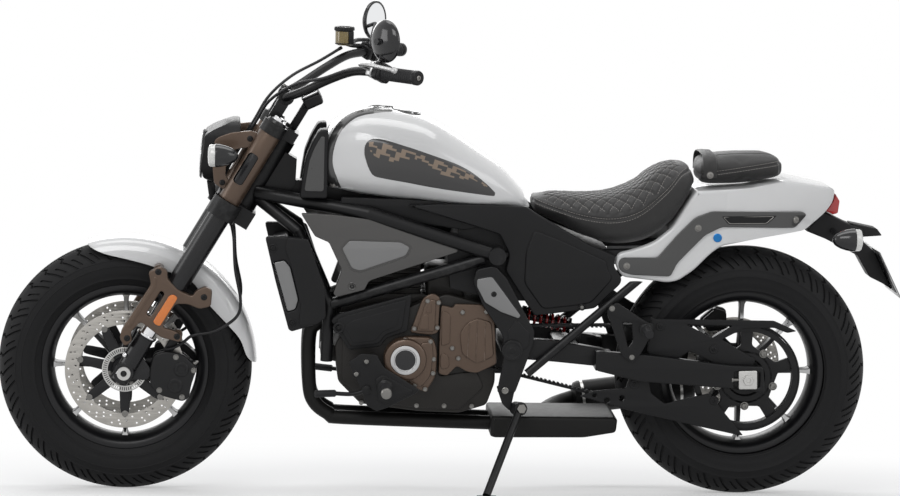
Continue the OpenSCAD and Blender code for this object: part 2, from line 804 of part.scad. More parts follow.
module side_stand() color(black) {
    parked() difference() {
        union() {
            stand_frame(fit) cylinder(r = stand_boss_r, h = stand_ear_t - fit);
            difference() {
                rod(stand_pivot + 9 * stand_axis, stand_foot, stand_leg_r);
                stand_frame(-30) cylinder(r = 40, h = 30 + fit);
            }
        }
        stand_frame(-10) cylinder(r = stand_pin_r + run, h = 60);
        stand_frame(stand_ear_t) cylinder(r = stand_pin_r + 7, h = 40);
    }
    translate([stand_pivot.x + stand_lead - origin_x, stand_reach - origin_y, 0])
        cylinder(r = stand_foot_r, h = 8);
}

// Rails under the seat and the struts up from the pivot plates
module subframe() color(black) parked() difference() {
    both_sides() {
        rail(0);
        strut(0);
    }
    upper_tubes(fit);
    both_sides() plate(pivot_plate_outline, plate_in_y - fit, plate_out_y + fit);
    both_sides() translate([-640 * stretch, 95, 566]) cube([240 * stretch, 80, 80]);
}

// Rail under the seat and strut from the pivot plate to the tail, with radius grown by g
module rail(g) rod([boss.x, 92, boss.z - 4], [-634 * stretch, 84, 643], 10 + g);
module strut(g) rod([-226 * stretch, plate_in_y + 8, 331], [-512 * stretch, tail_half - 2, 578], 11 + g);

// ---------- Swingarm, rear axle and shock ----------

arm_in_y = 84;
arm_out_y = 145;
arm_flare_y = 120;
arm_rear = [
    [rear_x + 46, rear_tyre_r + 36], [rear_x - 39, rear_tyre_r + 34],
    [rear_x - 45, rear_tyre_r - 35], [rear_x + 44, rear_tyre_r - 23]
];
arm_outline = [
    each side([[-400, 392], [-526, 384]]), arm_rear[0], arm_rear[1], arm_rear[2], arm_rear[3],
    each side([[-514, 315], [-400, 342]])
];

// Outline of the arms, grown a little so that guards can be cut to seat on them
module arm_shape(g = 0)
    both_sides() plate(arm_outline, arm_flare_y - g, arm_out_y + g);

module swingarm() color(satin) parked() {
    difference() {
        union() {
            cross(pivot.x, pivot.z, 27, -plate_in_y + fit, plate_in_y - fit);
            both_sides() {
                plate(side([[-186, 417], [-300, 412], [-420, 392], [-440, 380], [-440, 345],
                    [-300, 358], [-186, 366]]), arm_in_y, arm_flare_y - 6);
                plate(side([[-398, 391], [-440, 388], [-440, 341], [-398, 342]]), arm_in_y, arm_out_y);
            }
            arm_shape();
            translate([-360 * stretch, -arm_in_y - 1, 362]) cube([60 * stretch, 2 * arm_in_y + 2, 40]);
            translate([-372 * stretch, -14, 380]) cube([30 * stretch, 28, 36]);
        }
        cross(pivot.x, pivot.z, pivot_r + run, -200, 200);
        at_rear_axle() cross(0, 0, rear_axle_r + run, -200, 200);
    }
    // shaft through the pivot plates, with its caps
    difference() {
        union() {
            cross(pivot.x, pivot.z, pivot_r, -plate_out_y - 4, plate_out_y + 4);
            both_sides() cross(pivot.x, pivot.z, 26, plate_out_y + fit, plate_out_y + 8);
        }
        cross(pivot.x, pivot.z, 6, -200, 200);
    }
}

module rear_axle() color(silver) parked() at_rear_axle() {
    cross(0, 0, rear_axle_r, -arm_out_y - 10, arm_out_y + 10);
    both_sides() cross(0, 0, rear_axle_r + 5, arm_out_y + fit, arm_out_y + 10);
    // spacers between the hub and the arms
    difference() {
        both_sides() cross(0, 0, rear_axle_r + 7, rear_hub_half + fit, arm_flare_y - fit);
        cross(0, 0, rear_axle_r - 1, -200, 200);
    }
}

shock_low = [-362 * stretch, 0, 428];

module rear_shock() color(satin) parked() difference() {
    union() {
        rod(shock_top + 30 * unit(shock_low - shock_top), shock_low + 20 * unit(shock_top - shock_low), 22);
        rod(shock_top, shock_low, 9);
        cross(shock_top.x, shock_top.z, 22, -15, 15);
    }
    cross(shock_top.x, shock_top.z, 13 + fit, -20, 20);
    translate([-372 * stretch - fit, -14 - fit, 370]) cube([30 * stretch + 2 * fit, 28 + 2 * fit, 46 + fit]);
}

module rear_caliper() color(black) parked() at_rear_axle() mirror([0, 1, 0]) difference() {
    union() {
        plate([[20, 84], [72, 78], [92, 112], [52, 148], [22, 140]], 84, arm_flare_y - fit);
        plate([[30, 100], [70, 90], [70, 30], [40, 30]], rear_disc_y + 9, arm_flare_y - fit);
    }
    cross(0, 0, rear_disc_r + pad_gap, rear_disc_y - disc_t / 2 - pad_gap, rear_disc_y + disc_t / 2 + pad_gap);
}

// ---------- Belt ----------

front_pulley = [-80 * stretch, 0, 400];
pulley_pocket_y = belt_y - belt_w / 2 - 6;
rear_pulley_c = [rear_x, 0, rear_tyre_r];

belt_steps = 48;

// Side outline of the loop around both pulleys, grown outwards by g
function loop_outline(g) =
    let (
        f = [front_pulley.x, front_pulley.z],
        r = [rear_pulley_c.x, rear_pulley_c.z],
        u = unit(f - r),
        n = [-u.y, u.x],
        far = 1 / cos(180 / belt_steps),
        ra = (pulley_r + fit + g) * far,
        rb = (front_pulley_r + fit + g) * far,
        turn = acos((ra - rb) / norm(f - r))
    )
    concat(
        [for (i = [0 : belt_steps - 1])
            let (a = turn + (360 - 2 * turn) * i / (belt_steps - 1))
            r + ra * (cos(a) * u + sin(a) * n)],
        [for (i = [0 : belt_steps - 1])
            let (a = -turn + 2 * turn * i / (belt_steps - 1))
            f + rb * (cos(a) * u + sin(a) * n)]
    );

module belt_loop(g, y0, y1) plate(loop_outline(g), y0, y1);

module drive_belt() color(rubber) parked() {
    y0 = belt_y - belt_w / 2;
    y1 = belt_y + belt_w / 2;
    difference() {
        belt_loop(belt_t, y0, y1);
        belt_loop(0, y0 - 1, y1 + 1);
    }
    // front pulley on the gearbox shaft
    cross(front_pulley.x, front_pulley.z, front_pulley_r, y0, y1);
    cross(front_pulley.x, front_pulley.z, 18, pulley_pocket_y + fit, y0 + 1);
}

module belt_guards() color(black) parked() difference() {
    union() {
        difference() {
            plate([
                each side([[-537, 478], [-551, 473], [-852, 472], [-911, 446], [-887, 441], [-852, 454],
                    [-774, 451], [-720, 422], [-808, 372], [-801, 350], [-726, 350]]),
                each side([[-640, 392], [-600, 365], [-546, 365], [-530, 392], [-538, 447]])
            ], arm_flare_y - 4, arm_flare_y + 4);
            plate(side([[-623, 462], [-753, 460], [-696, 422]]), 0, 200);
        }
        plate(side([
            [-363, 272], [-400, 287], [-479, 294], [-492, 335], [-533, 335], [-544, 282], [-579, 255],
            [-694, 284], [-723, 246], [-784, 175], [-774, 175], [-656, 200], [-477, 240]
        ]), arm_flare_y - 4, arm_flare_y + 4);
    }
    arm_shape(fit);
}

// ---------- Engine ----------

case_half = 104;
cylinder_half = 68;
cover_seat_y = case_half + fit;

case_outline = side([
    [-148, 300], [-148, 500], [-100, 508], [-20, 528], [60, 500], [200, 430], [246, 418],
    [262, 391], [252, 300], [192, 240], [45, 222], [-60, 219], [-128, 240]
]);
cylinder_outline = side([[0, 500], [40, 600], [235, 600], [262, 500], [262, 380], [60, 380]]);

module engine_block() color(satin) parked() difference() {
    union() {
        plate(case_outline, -case_half, case_half);
        plate(cylinder_outline, -cylinder_half, cylinder_half);
        // front mounting lug between the down tubes
        cross(280 * stretch, 362, 14, -72, 72);
        plate(side([[240, 340], [292, 350], [292, 376], [240, 390]]), -60, 60);
    }
    // room for the front pulley and the belt behind it
    translate([-200 * stretch, pulley_pocket_y, front_pulley.z - front_pulley_r - 26])
        cube([(200 - 22) * stretch, 60, 2 * front_pulley_r + 46]);
    // shoulders beside the down tubes
    down_shape(fit);
    side_shape(fit);
}

alternator = [83 * stretch, 364];
clutch_c = [40 * stretch, 350];

// Bronze covers: cam chain and alternator on the left, clutch on the right
module engine_covers() color(bronze) parked() {
    plate(side([[71, 430], [43, 512], [33, 523], [14, 531], [-3, 520], [0, 430], [20, 424]]),
        cover_seat_y, cover_seat_y + 20);
    difference() {
        union() {
            plate(side([[130, 369], [116, 399], [82, 422], [12, 420], [2, 385], [4, 320], [29, 279],
                [94, 305]]), cover_seat_y, cover_seat_y + 34);
            cross(alternator.x, alternator.y, 54, cover_seat_y, cover_seat_y + 44);
        }
        cross(alternator.x, alternator.y, 30, cover_seat_y + 38, 200);
    }
    mirror([0, 1, 0]) {
        cross(clutch_c.x, clutch_c.y, 78, cover_seat_y, cover_seat_y + 36);
        plate(side([[20, 424], [0, 520], [30, 526], [70, 440]]), cover_seat_y, cover_seat_y + 20);
        plate(side([[100, 296], [164, 300], [164, 345], [158, 376], [100, 392]]),
            cover_seat_y, cover_seat_y + 30);
    }
}

// Black covers beside the cylinders, and over the front pulley
module head_covers() color(satin) parked() {
    difference() {
        both_sides() plate(side([
            [271, 461], [251, 476], [69, 528], [78, 433], [131, 415], [145, 394], [225, 384], [245, 416]
        ]), cylinder_half + fit, case_half + 22);
        plate(case_outline, -cover_seat_y, cover_seat_y);
        down_shape(fit);
        side_shape(fit);
    }
    plate(side([
        [-6, 501], [-36, 494], [-41, 504], [-110, 503], [-141, 473], [-150, 352], [-100, 328],
        [-75, 331], [-49, 346], [-25, 320], [-3, 325], [-3, 396]
    ]), belt_y + belt_w / 2 + 3, plate_in_y - fit);
    // seat of the pulley cover on the case
    plate(side([[-19, 350], [-3, 350], [-3, 490], [-19, 490]]), cover_seat_y, belt_y + belt_w / 2 + 4);
}

radiator_half = 122;

module radiator() color(satin) parked()
    difference() {
        union() {
            plate(side([[380, 652], [418, 645], [366, 446], [328, 453]]), -radiator_half, radiator_half);
            // stays to the down tubes
            both_sides() {
                plate(side([[336, 640], [380, 640], [376, 624], [328, 624]]), 70, 84);
                plate(side([[280, 500], [345, 500], [341, 484], [276, 484]]), 80, 94);
            }
        }
        down_shape(fit);
        side_shape(fit);
    }

module radiator_shrouds() color(satin) parked() both_sides() {
    plate(side([
        [439, 672], [383, 672], [339, 668], [323, 634], [287, 539], [284, 469], [310, 451],
        [369, 433], [377, 438], [411, 558]
    ]), radiator_half + fit, radiator_half + 26);
}

// Two header pipes into a box under the engine, and a short silencer on the right
module exhaust() color(black) parked() {
    translate([-465 * stretch, -95, 156]) cube([325 * stretch, 190, 56]);
    difference() {
        for (y = [-36, 36])
            bent_rod([[252 * stretch, y, 462], [322 * stretch, y, 410], [318 * stretch, y, 262],
                [250 * stretch, y, 194], [-141 * stretch, y, 184]], 18);
        plate(cylinder_outline, -cylinder_half - 1, cylinder_half + 1);
        plate(case_outline, -case_half, case_half);
    }
    bent_rod([[-300 * stretch, -94, 190], [-330 * stretch, -150, 196], [-380 * stretch, -186, 206]], 22);
    rod([-378 * stretch, -186, 206], [-700 * stretch, -196, 246], 44);
}

// ---------- Bodywork ----------

// Sections from rear to front: x, half width, low z, high z, squareness
tank_sections = [for (s = [
    [-228, 60, 732, 762, 2.2], [-200, 0.6 * tank_half, 730, 796, 2.3], [-150, 0.76 * tank_half, 731, 846, 2.4],
    [-90, 0.89 * tank_half, 734, 888, 2.4], [-33, 0.96 * tank_half, 740, 926, 2.4],
    [30, tank_half, 748, 963, 2.4], [90, tank_half, 755, 979, 2.4], [140, 0.99 * tank_half, 760, 986, 2.4],
    [195, 0.94 * tank_half, 768, 985, 2.5], [235, 0.86 * tank_half, 776, 972, 2.6],
    [268, 0.76 * tank_half, 782, 950, 2.7], [292, 0.66 * tank_half, 790, 930, 3]
]) [s[0] * stretch, s[1], s[2], s[3], s[4]]];

module fuel_tank() color(pearl) parked() loft(tank_sections);

trim_t = 4;

// Grey trims before the knees, seated on the tank, and the shrouds at its front
module tank_trims() color(grey) parked() {
    both_sides() intersection() {
        plate(side([[168, 976], [217, 965], [262, 940], [286, 905], [290, 860], [288, 815],
            [282, 785], [246, 785], [259, 814], [272, 852], [270, 890], [254, 925],
            [217, 950], [168, 962]]), 60, tank_half + trim_t);
        translate([0, 0, 700]) linear_extrude(400) polygon(concat(
            [for (s = tank_sections) [s[0], s[1] + fit]],
            [for (i = [len(tank_sections) - 1 : -1 : 0]) [tank_sections[i][0], tank_sections[i][1] + trim_t]]));
    }
    difference() {
        both_sides() plate(side([[353, 776], [347, 824], [340, 868], [325, 906], [307, 940],
            [297, 940], [297, 764], [352, 764]]), 60, 112);
        upper_tubes(fit);
    }
}

// Grey covers in the frame's triangles
module frame_covers() color(grey) parked() difference() {
    both_sides() plate(side([
        [350, 728], [270, 727], [172, 715], [67, 682], [-45, 643], [-43, 636], [80, 594], [169, 563],
        [178, 558], [188, 537], [257, 518], [267, 526], [246, 587], [279, 656], [314, 671]
    ]), 98, 118);
    upper_tubes(fit);
    side_shape(fit);
    down_shape(fit);
}

// Black panels between the tank, the seat and the pivot plates
module side_panels() color(black) parked() difference() {
    both_sides() plate(side([
        [75, 744], [8, 736], [-98, 722], [-224, 722], [-232, 718], [-368, 660], [-436, 638],
        [-444, 634], [-440, 606], [-461, 574], [-458, 560], [-395, 497], [-348, 490], [-242, 476],
        [-144, 600], [-173, 631], [-137, 686]
    ]), 98, 120);
    upper_tubes(fit);
    side_shape(fit);
    both_sides() plate(pivot_plate_outline, plate_in_y - fit, plate_out_y + fit);
    seat_room();
    subframe_room();
}

// Space taken by the seat above the panels
module seat_room()
    plate(side([[-226, 900], [-226, 722], [-300, 699], [-371, 667], [-439, 647], [-502, 651],
        [-541, 667], [-587, 705], [-625, 769], [-650, 800], [-650, 900]]), -200, 200);

module subframe_room()
    both_sides() {
        rail(fit);
        strut(fit);
    }

module battery_box() color(black) parked() difference() {
    plate(side([[-160, 510], [-430, 510], [-430, 640], [-380, 655], [-240, 712], [-60, 712], [-20, 620],
        [-30, 540]]), -90, 90);
    upper_tubes(fit);
    side_shape(fit);
    subframe_room();
}

seat_sections = [for (s = [
    [-645, 90, 806, 846, 2.4], [-625, 0.8 * seat_half, 773, 868, 2.6], [-587, 0.9 * seat_half, 709, 868, 2.8],
    [-541, 0.97 * seat_half, 671, 844, 3], [-502, seat_half, 655, 812, 3], [-439, seat_half, 651, 786, 3],
    [-371, 0.9 * seat_half, 671, 779, 3], [-300, 0.72 * seat_half, 703, 782, 3],
    [-236, 0.5 * seat_half, 728, 786, 3]
]) [s[0] * stretch, s[1], s[2], s[3], s[4]]];

module rider_seat() color(leather) parked() loft(seat_sections);

pillion_sections = [for (s = [
    [-872, 0.74 * pillion_half, 826, 882, 3], [-850, 0.92 * pillion_half, 822, 891, 3.2],
    [-760, pillion_half, 808, 892, 3.2], [-690, pillion_half, 804, 888, 3.2],
    [-655, 0.88 * pillion_half, 802, 880, 3]
]) [s[0] * stretch, s[1], s[2], s[3], s[4]]];

module passenger_seat() color(leather) parked() loft(pillion_sections);

arch_r = 342;
seat_gap = 0.8;
tail_outline = concat(
    side([
        [-650, 800], [-773, 808], [-865, 824], [-882, 827], [-999, 807], [-1011, 798], [-1006, 771],
        [-984, 743], [-928, 698], [-901, 694], [-813, 679], [-711, 657], [-684, 636], [-645, 595],
        [-605, 567], [-578, 562], [-547, 566], [-493, 572], [-462, 575], [-441, 606], [-445, 640]
    ]),
    // the seat's underside
    [for (i = [4 : -1 : 0]) [seat_sections[i][0], seat_sections[i][2] - seat_gap]]);

// White rear bodywork and mudguard, open over the wheel
module tail() color(pearl) parked() difference() {
    intersection() {
        plate(tail_outline, -tail_half, tail_half);
        translate([0, 0, 400]) linear_extrude(600) polygon([
            [-400 * stretch, -tail_half], [-720 * stretch, -tail_half], [-865 * stretch, -tail_half + 18],
            [-960 * stretch, -72], [-1011 * stretch, -46], [-1011 * stretch, 46], [-960 * stretch, 72],
            [-865 * stretch, tail_half - 18], [-720 * stretch, tail_half], [-400 * stretch, tail_half]
        ]);
    }
    at_rear_axle() cross(0, 0, arch_r, -tail_half + 16, tail_half - 16);
    translate([-640 * stretch, -tail_half + 14, 500]) cube([260 * stretch, 2 * tail_half - 28, 200]);
    // rails of the subframe
    both_sides() translate([-660 * stretch, 70, 630]) cube([40 * stretch, 28, 30]);
}

module tail_trims() color(grey) parked() both_sides() difference() {
    union() {
        plate(side([
            [-458, 592], [-449, 609], [-457, 628], [-549, 629], [-601, 691], [-642, 733], [-683, 749],
            [-740, 749], [-740, 709], [-710, 709], [-669, 688], [-628, 645], [-600, 615], [-584, 581], [-487, 584]
        ]), tail_half + fit, tail_half + 7);
        plate(side([[-739, 749], [-919, 748], [-932, 740], [-900, 706], [-739, 709]]),
            tail_half - 20, tail_half + 7);
    }
    // the tail narrows here, so the trim follows it
    translate([0, 0, 400]) linear_extrude(600) polygon([
        [-400 * stretch, 0], [-1011 * stretch, 0], [-960 * stretch, 72 + fit],
        [-865 * stretch, tail_half - 18 + fit], [-720 * stretch, tail_half + fit],
        [-400 * stretch, tail_half + fit]
    ]);
    translate([0, 0, 400]) linear_extrude(600) polygon([
        [-720 * stretch, tail_half + 7], [-865 * stretch, tail_half - 11], [-960 * stretch, 79],
        [-1011 * stretch, 60], [-1011 * stretch, 160], [-720 * stretch, 160]
    ]);
}

module tail_light() color("darkred") parked()
    plate(side([[-1010.5, 790], [-1024, 770], [-1020, 738], [-1008, 734], [-988, 742], [-1007, 771]]), -42, 42);

module plate_hanger() color(black) parked() {
    plate(side([
        [-941, 690], [-986, 742.5], [-1047, 712], [-1090, 697], [-1091, 665], [-1123, 637],
        [-1141, 601], [-1149, 585], [-1172, 540], [-1143, 558], [-1111, 573], [-1078, 628], [-993, 670]
    ]), -30, 30);
    // blank number plate and its lamp
    translate([-1124 * stretch, 0, 637]) rotate([0, 27, 0]) translate([-3, -95, -124]) cube([3, 190, 134]);
    plate(side([[-1055, 712], [-1126, 698], [-1140, 680], [-1088, 676]]), -26, 26);
}

rear_signal = [-1016, 195, 692];

module rear_signals() color(black) parked() both_sides() {
    translate([rear_signal.x * stretch, rear_signal.y, rear_signal.z]) rotate([0, 0, 180]) signal();
    cross(-1010 * stretch, 692, 8, 30 + fit, rear_signal.y - 20);
}

// Foot pegs on their plates, with the gear lever on the left and the brake pedal on the right
module foot_controls() color(black) parked() {
    both_sides() {
        plate(side([
            [227, 359], [195, 382], [156, 380], [138, 348], [45, 291], [59, 280], [128, 244],
            [153, 236], [178, 249], [194, 294]
        ]), 152, 159);
        cross(181 * stretch, 362, 10, cover_seat_y, 152.5);
        cross(134 * stretch, 300, 14, 158, 262);
        // toe lever
        rod([180 * stretch, 159, 290], [262 * stretch, 168, 282], 6);
        rod([258 * stretch, 166, 282], [312 * stretch, 188, 284], 9);
        // passenger pegs on arms from the struts
        plate(side([[-521, 471], [-542, 465], [-539, 444], [-511, 389], [-491, 364], [-463, 381], [-420, 497],
            [-445, 520]]), 146, 154);
        cross(-520 * stretch, 452, 12, 153, 232);
        cross(-434 * stretch, 504, 9, 130, 147);
    }
}

front_tyre();
front_rim();
front_discs();
front_axle();
fork_legs();
fork_covers();
fork_clamps();
front_calipers();
front_fender();
headlight();
front_signals();
handlebar();
grips();
bar_controls();
mirrors();
instrument();
hoses();
rear_tyre();
rear_rim();
rear_pulley();
rear_disc();
rear_axle();
rear_caliper();
swingarm();
rear_shock();
drive_belt();
belt_guards();
main_frame();
down_tubes();
side_tubes();
pivot_plates();
subframe();
engine_block();
engine_covers();
head_covers();
radiator();
radiator_shrouds();
exhaust();
fuel_tank();
tank_trims();
frame_covers();
side_panels();
battery_box();
rider_seat();
passenger_seat();
tail();
tail_trims();
tail_light();
plate_hanger();
rear_signals();
foot_controls();
side_stand();
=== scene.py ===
"""Looks of a cruiser motorcycle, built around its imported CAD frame."""

import math

import bmesh
import bpy
from mathutils import Matrix, Vector
from mathutils.bvhtree import BVHTree


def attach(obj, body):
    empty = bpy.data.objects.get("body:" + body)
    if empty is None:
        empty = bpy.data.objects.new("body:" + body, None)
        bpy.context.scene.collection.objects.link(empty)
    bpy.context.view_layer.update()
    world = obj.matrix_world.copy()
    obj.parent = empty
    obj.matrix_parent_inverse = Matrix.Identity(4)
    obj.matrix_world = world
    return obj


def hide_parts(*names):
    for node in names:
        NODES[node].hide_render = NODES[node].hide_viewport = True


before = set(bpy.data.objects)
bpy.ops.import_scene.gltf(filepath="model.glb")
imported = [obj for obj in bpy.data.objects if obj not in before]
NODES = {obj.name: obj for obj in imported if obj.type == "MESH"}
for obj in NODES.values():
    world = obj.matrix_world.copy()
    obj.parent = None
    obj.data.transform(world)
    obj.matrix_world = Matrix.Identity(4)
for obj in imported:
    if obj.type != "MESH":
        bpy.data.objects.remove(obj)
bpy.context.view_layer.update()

# ---------- Frames of reference, in millimetres, as in the CAD ----------


def at(x, y, z):
    """Shift by millimetres."""
    return Matrix.Translation((x, y, z))


WHEELBASE = 1574
LEAN = math.radians(9)
RAKE = math.radians(30.5)
FRONT_R = 320
REAR_R = 323
CROWN_Z = 70
UPRIGHT = (
    Matrix.Scale(0.001, 4)
    @ at(38, -164, CROWN_Z)
    @ Matrix.Rotation(-LEAN, 4, "X")
    @ at(0, 0, -CROWN_Z)
)
FRONT_AXLE = UPRIGHT @ at(WHEELBASE / 2, 0, FRONT_R)
REAR_AXLE = UPRIGHT @ at(-WHEELBASE / 2, 0, REAR_R)
FORK = FRONT_AXLE @ Matrix.Rotation(-RAKE, 4, "Y")

# ---------- Materials ----------


class Shade:
    """A principled material with procedural colour variation, grain and soft edges."""

    def __init__(self, name, color, rough, metal=0.0, coat=0.0, spread=0.06, vary=6.0,
                 grain=0.0, grain_scale=900.0, rough_spread=0.05, bevel=1.2, wear=0.0,
                 wear_color=(0.3, 0.3, 0.3), spec=0.5):
        self.mat = bpy.data.materials.new(name)
        self.mat.use_nodes = True
        self.tree = self.mat.node_tree
        self.tree.nodes.clear()
        self.out = self.node("ShaderNodeOutputMaterial")
        self.bsdf = self.node("ShaderNodeBsdfPrincipled")
        self.link(self.bsdf, "BSDF", self.out, "Surface")
        self.bsdf.inputs["Metallic"].default_value = metal
        self.bsdf.inputs["Coat Weight"].default_value = coat
        self.bsdf.inputs["Coat Roughness"].default_value = 0.04
        self.bsdf.inputs["Specular IOR Level"].default_value = spec
        self.coords = self.node("ShaderNodeTexCoord")
        cloud = self.noise(vary, 3)
        mix = self.node("ShaderNodeMix")
        mix.data_type = "RGBA"
        self.link(cloud, "Fac", mix, "Factor")
        mix.inputs["A"].default_value = [c * (1 - spread) for c in color] + [1]
        mix.inputs["B"].default_value = [min(1, c * (1 + spread)) for c in color] + [1]
        self.color_out = (mix, "Result")
        if wear:
            tips = self.node("ShaderNodeNewGeometry")
            band = self.ramp(0.56, 0.64)
            self.link(tips, "Pointiness", band, "Value")
            blotches = self.noise(55, 4)
            chosen = self.ramp(0.45, 0.62)
            self.link(blotches, "Fac", chosen, "Value")
            rubbed = self.math("MULTIPLY", (band, "Result"), (chosen, "Result"))
            worn = self.node("ShaderNodeMix")
            worn.data_type = "RGBA"
            amount = self.math("MULTIPLY", (rubbed, "Value"), wear)
            self.link(amount, "Value", worn, "Factor")
            self.tree.links.new(mix.outputs["Result"], worn.inputs["A"])
            worn.inputs["B"].default_value = list(wear_color) + [1]
            self.color_out = (worn, "Result")
        self.tree.links.new(self.socket(self.color_out), self.bsdf.inputs["Base Color"])
        fine = self.noise(vary * 9, 4)
        level = self.node("ShaderNodeMapRange")
        level.inputs["To Min"].default_value = max(0.02, rough - rough_spread)
        level.inputs["To Max"].default_value = min(1, rough + rough_spread)
        self.link(fine, "Fac", level, "Value")
        self.link(level, "Result", self.bsdf, "Roughness")
        self.normal_in = None
        if bevel:
            soft = self.node("ShaderNodeBevel")
            soft.samples = 3
            soft.inputs["Radius"].default_value = bevel / 1000
            self.normal_in = (soft, "Normal")
            self.tree.links.new(soft.outputs["Normal"], self.bsdf.inputs["Normal"])
        if grain:
            self.bump((self.noise(grain_scale, 3), "Fac"), grain, 0.0004)

    def node(self, kind):
        return self.tree.nodes.new(kind)

    def socket(self, pair):
        return pair[0].outputs[pair[1]]

    def link(self, a, out, b, inp):
        self.tree.links.new(a.outputs[out], b.inputs[inp])

    def noise(self, scale, detail):
        n = self.node("ShaderNodeTexNoise")
        n.inputs["Scale"].default_value = scale
        n.inputs["Detail"].default_value = detail
        self.link(self.coords, "Object", n, "Vector")
        return n

    def ramp(self, low, high):
        n = self.node("ShaderNodeMapRange")
        n.inputs["From Min"].default_value = low
        n.inputs["From Max"].default_value = high
        return n

    def math(self, op, a, b):
        n = self.node("ShaderNodeMath")
        n.operation = op
        for i, v in enumerate((a, b)):
            if isinstance(v, tuple):
                self.tree.links.new(self.socket(v), n.inputs[i])
            else:
                n.inputs[i].default_value = v
        return n

    def bump(self, height, strength, distance):
        b = self.node("ShaderNodeBump")
        b.inputs["Strength"].default_value = strength
        b.inputs["Distance"].default_value = distance
        self.tree.links.new(self.socket(height), b.inputs["Height"])
        if self.normal_in:
            self.tree.links.new(self.socket(self.normal_in), b.inputs["Normal"])
        self.normal_in = (b, "Normal")
        self.tree.links.new(b.outputs["Normal"], self.bsdf.inputs["Normal"])


RUBBER = Shade("tyre_rubber", (0.0065, 0.0065, 0.007), 0.62, spec=0.2, spread=0.16, vary=14, grain=0.35,
               grain_scale=1400, bevel=0.8)
WHEEL = Shade("wheel_satin_black", (0.008, 0.008, 0.009), 0.34, spec=0.3, grain=0.12, grain_scale=700)
EDGE = Shade("machined_edge", (0.50, 0.50, 0.50), 0.3, metal=1.0, grain=0.1, grain_scale=1200, bevel=0.6)
STEEL = Shade("ground_steel", (0.52, 0.515, 0.50), 0.34, metal=1.0, spread=0.1, vary=30, bevel=0.3)
DISC = Shade("disc_band", (0.40, 0.385, 0.36), 0.38, metal=1.0, spread=0.16, vary=18, grain=0.3,
             grain_scale=600, bevel=0.3)
BOLT = Shade("zinc_bolt", (0.2, 0.195, 0.185), 0.34, metal=1.0, bevel=0.4)
CHROME = Shade("polished_chrome", (0.75, 0.75, 0.76), 0.08, metal=1.0, spread=0.02, bevel=0.4)
BLACK = Shade("satin_black", (0.006, 0.006, 0.0065), 0.36, spec=0.24, grain=0.2, grain_scale=600,
              spread=0.15,
              wear=0.25, wear_color=(0.05, 0.05, 0.05))
FORKBLACK = Shade("fork_black", (0.008, 0.008, 0.009), 0.25, spec=0.35)
BRONZE = Shade("bronze_paint", (0.088, 0.057, 0.039), 0.38, metal=0.55, coat=0.2, grain=0.3,
               grain_scale=1500,
               spread=0.1, wear=0.3, wear_color=(0.3, 0.24, 0.2))
ENGINE = Shade("engine_black", (0.008, 0.008, 0.0085), 0.42, spec=0.26, grain=0.35, grain_scale=900,
               spread=0.2,
               wear=0.2, wear_color=(0.06, 0.06, 0.06))
CASE = Shade("engine_casting", (0.016, 0.0145, 0.013), 0.46, metal=0.2, spec=0.3, grain=0.4,
             grain_scale=800, spread=0.15)
EXHAUST = Shade("exhaust_black", (0.006, 0.0058, 0.0055), 0.5, spec=0.2, grain=0.3, grain_scale=500,
                spread=0.2)
PEARL = Shade("pearl_white", (0.60, 0.60, 0.60), 0.3, coat=0.8, spread=0.015, rough_spread=0.02, bevel=1.5)
GREY = Shade("trim_grey", (0.04, 0.04, 0.0395), 0.3, metal=0.35, coat=0.6, spread=0.04, grain=0.08,
             grain_scale=2500)
SILVERGREY = Shade("cover_grey", (0.17, 0.17, 0.17), 0.34, metal=0.45, coat=0.5, spread=0.04, grain=0.08,
                   grain_scale=2500)
COVERGREY = Shade("frame_cover_grey", (0.055, 0.053, 0.051), 0.34, metal=0.45, coat=0.5, spread=0.04,
                  grain=0.08,
                  grain_scale=2500)
PLASTIC = Shade("black_plastic", (0.006, 0.006, 0.0065), 0.46, spec=0.22, grain=0.5, grain_scale=1300,
                spread=0.12)
GLOSS = Shade("gloss_black", (0.006, 0.006, 0.007), 0.12, spec=0.5, spread=0.1)
CABLE = Shade("cable_rubber", (0.008, 0.008, 0.009), 0.42, spec=0.3, spread=0.1, grain=0.2,
              grain_scale=1100, bevel=0)
GRIP = Shade("grip_rubber", (0.01, 0.01, 0.011), 0.66, spec=0.3, spread=0.12, grain=0.4, grain_scale=1000,
             bevel=0.4)
AMBER = Shade("amber_reflector", (0.62, 0.16, 0.012), 0.22, coat=0.6, spread=0.08, vary=40)
RED = Shade("red_lens", (0.36, 0.012, 0.012), 0.16, coat=0.6, spread=0.1, vary=40)
MILKY = Shade("milky_lens", (0.62, 0.62, 0.6), 0.22, coat=0.5, spread=0.04, vary=30)
MIRROR = Shade("mirror_glass", (0.82, 0.83, 0.84), 0.03, metal=1.0, spread=0.01, rough_spread=0.01, bevel=0)
FIN = Shade("radiator_fins", (0.03, 0.03, 0.031), 0.5, metal=0.3, spread=0.2)


def leather(name, color):
    """Grained leather: fine pebbles from cells, with a soft sheen on the crowns."""
    s = Shade(name, color, 0.5, spread=0.14, vary=9, bevel=0, spec=0.35)
    s.bsdf.inputs["Sheen Weight"].default_value = 0.12
    s.bsdf.inputs["Sheen Roughness"].default_value = 0.5
    cells = s.node("ShaderNodeTexVoronoi")
    cells.feature = "DISTANCE_TO_EDGE"
    cells.inputs["Scale"].default_value = 620
    s.link(s.coords, "Object", cells, "Vector")
    edge = s.ramp(0.0, 0.22)
    s.link(cells, "Distance", edge, "Value")
    s.bump((edge, "Result"), 0.35, 0.0003)
    s.bump((s.noise(60, 3), "Fac"), 0.2, 0.001)
    return s


LEATHER = leather("seat_leather", (0.012, 0.0115, 0.0115))
THREAD = Shade("stitching", (0.32, 0.3, 0.28), 0.8, spread=0.1, vary=90, bevel=0)


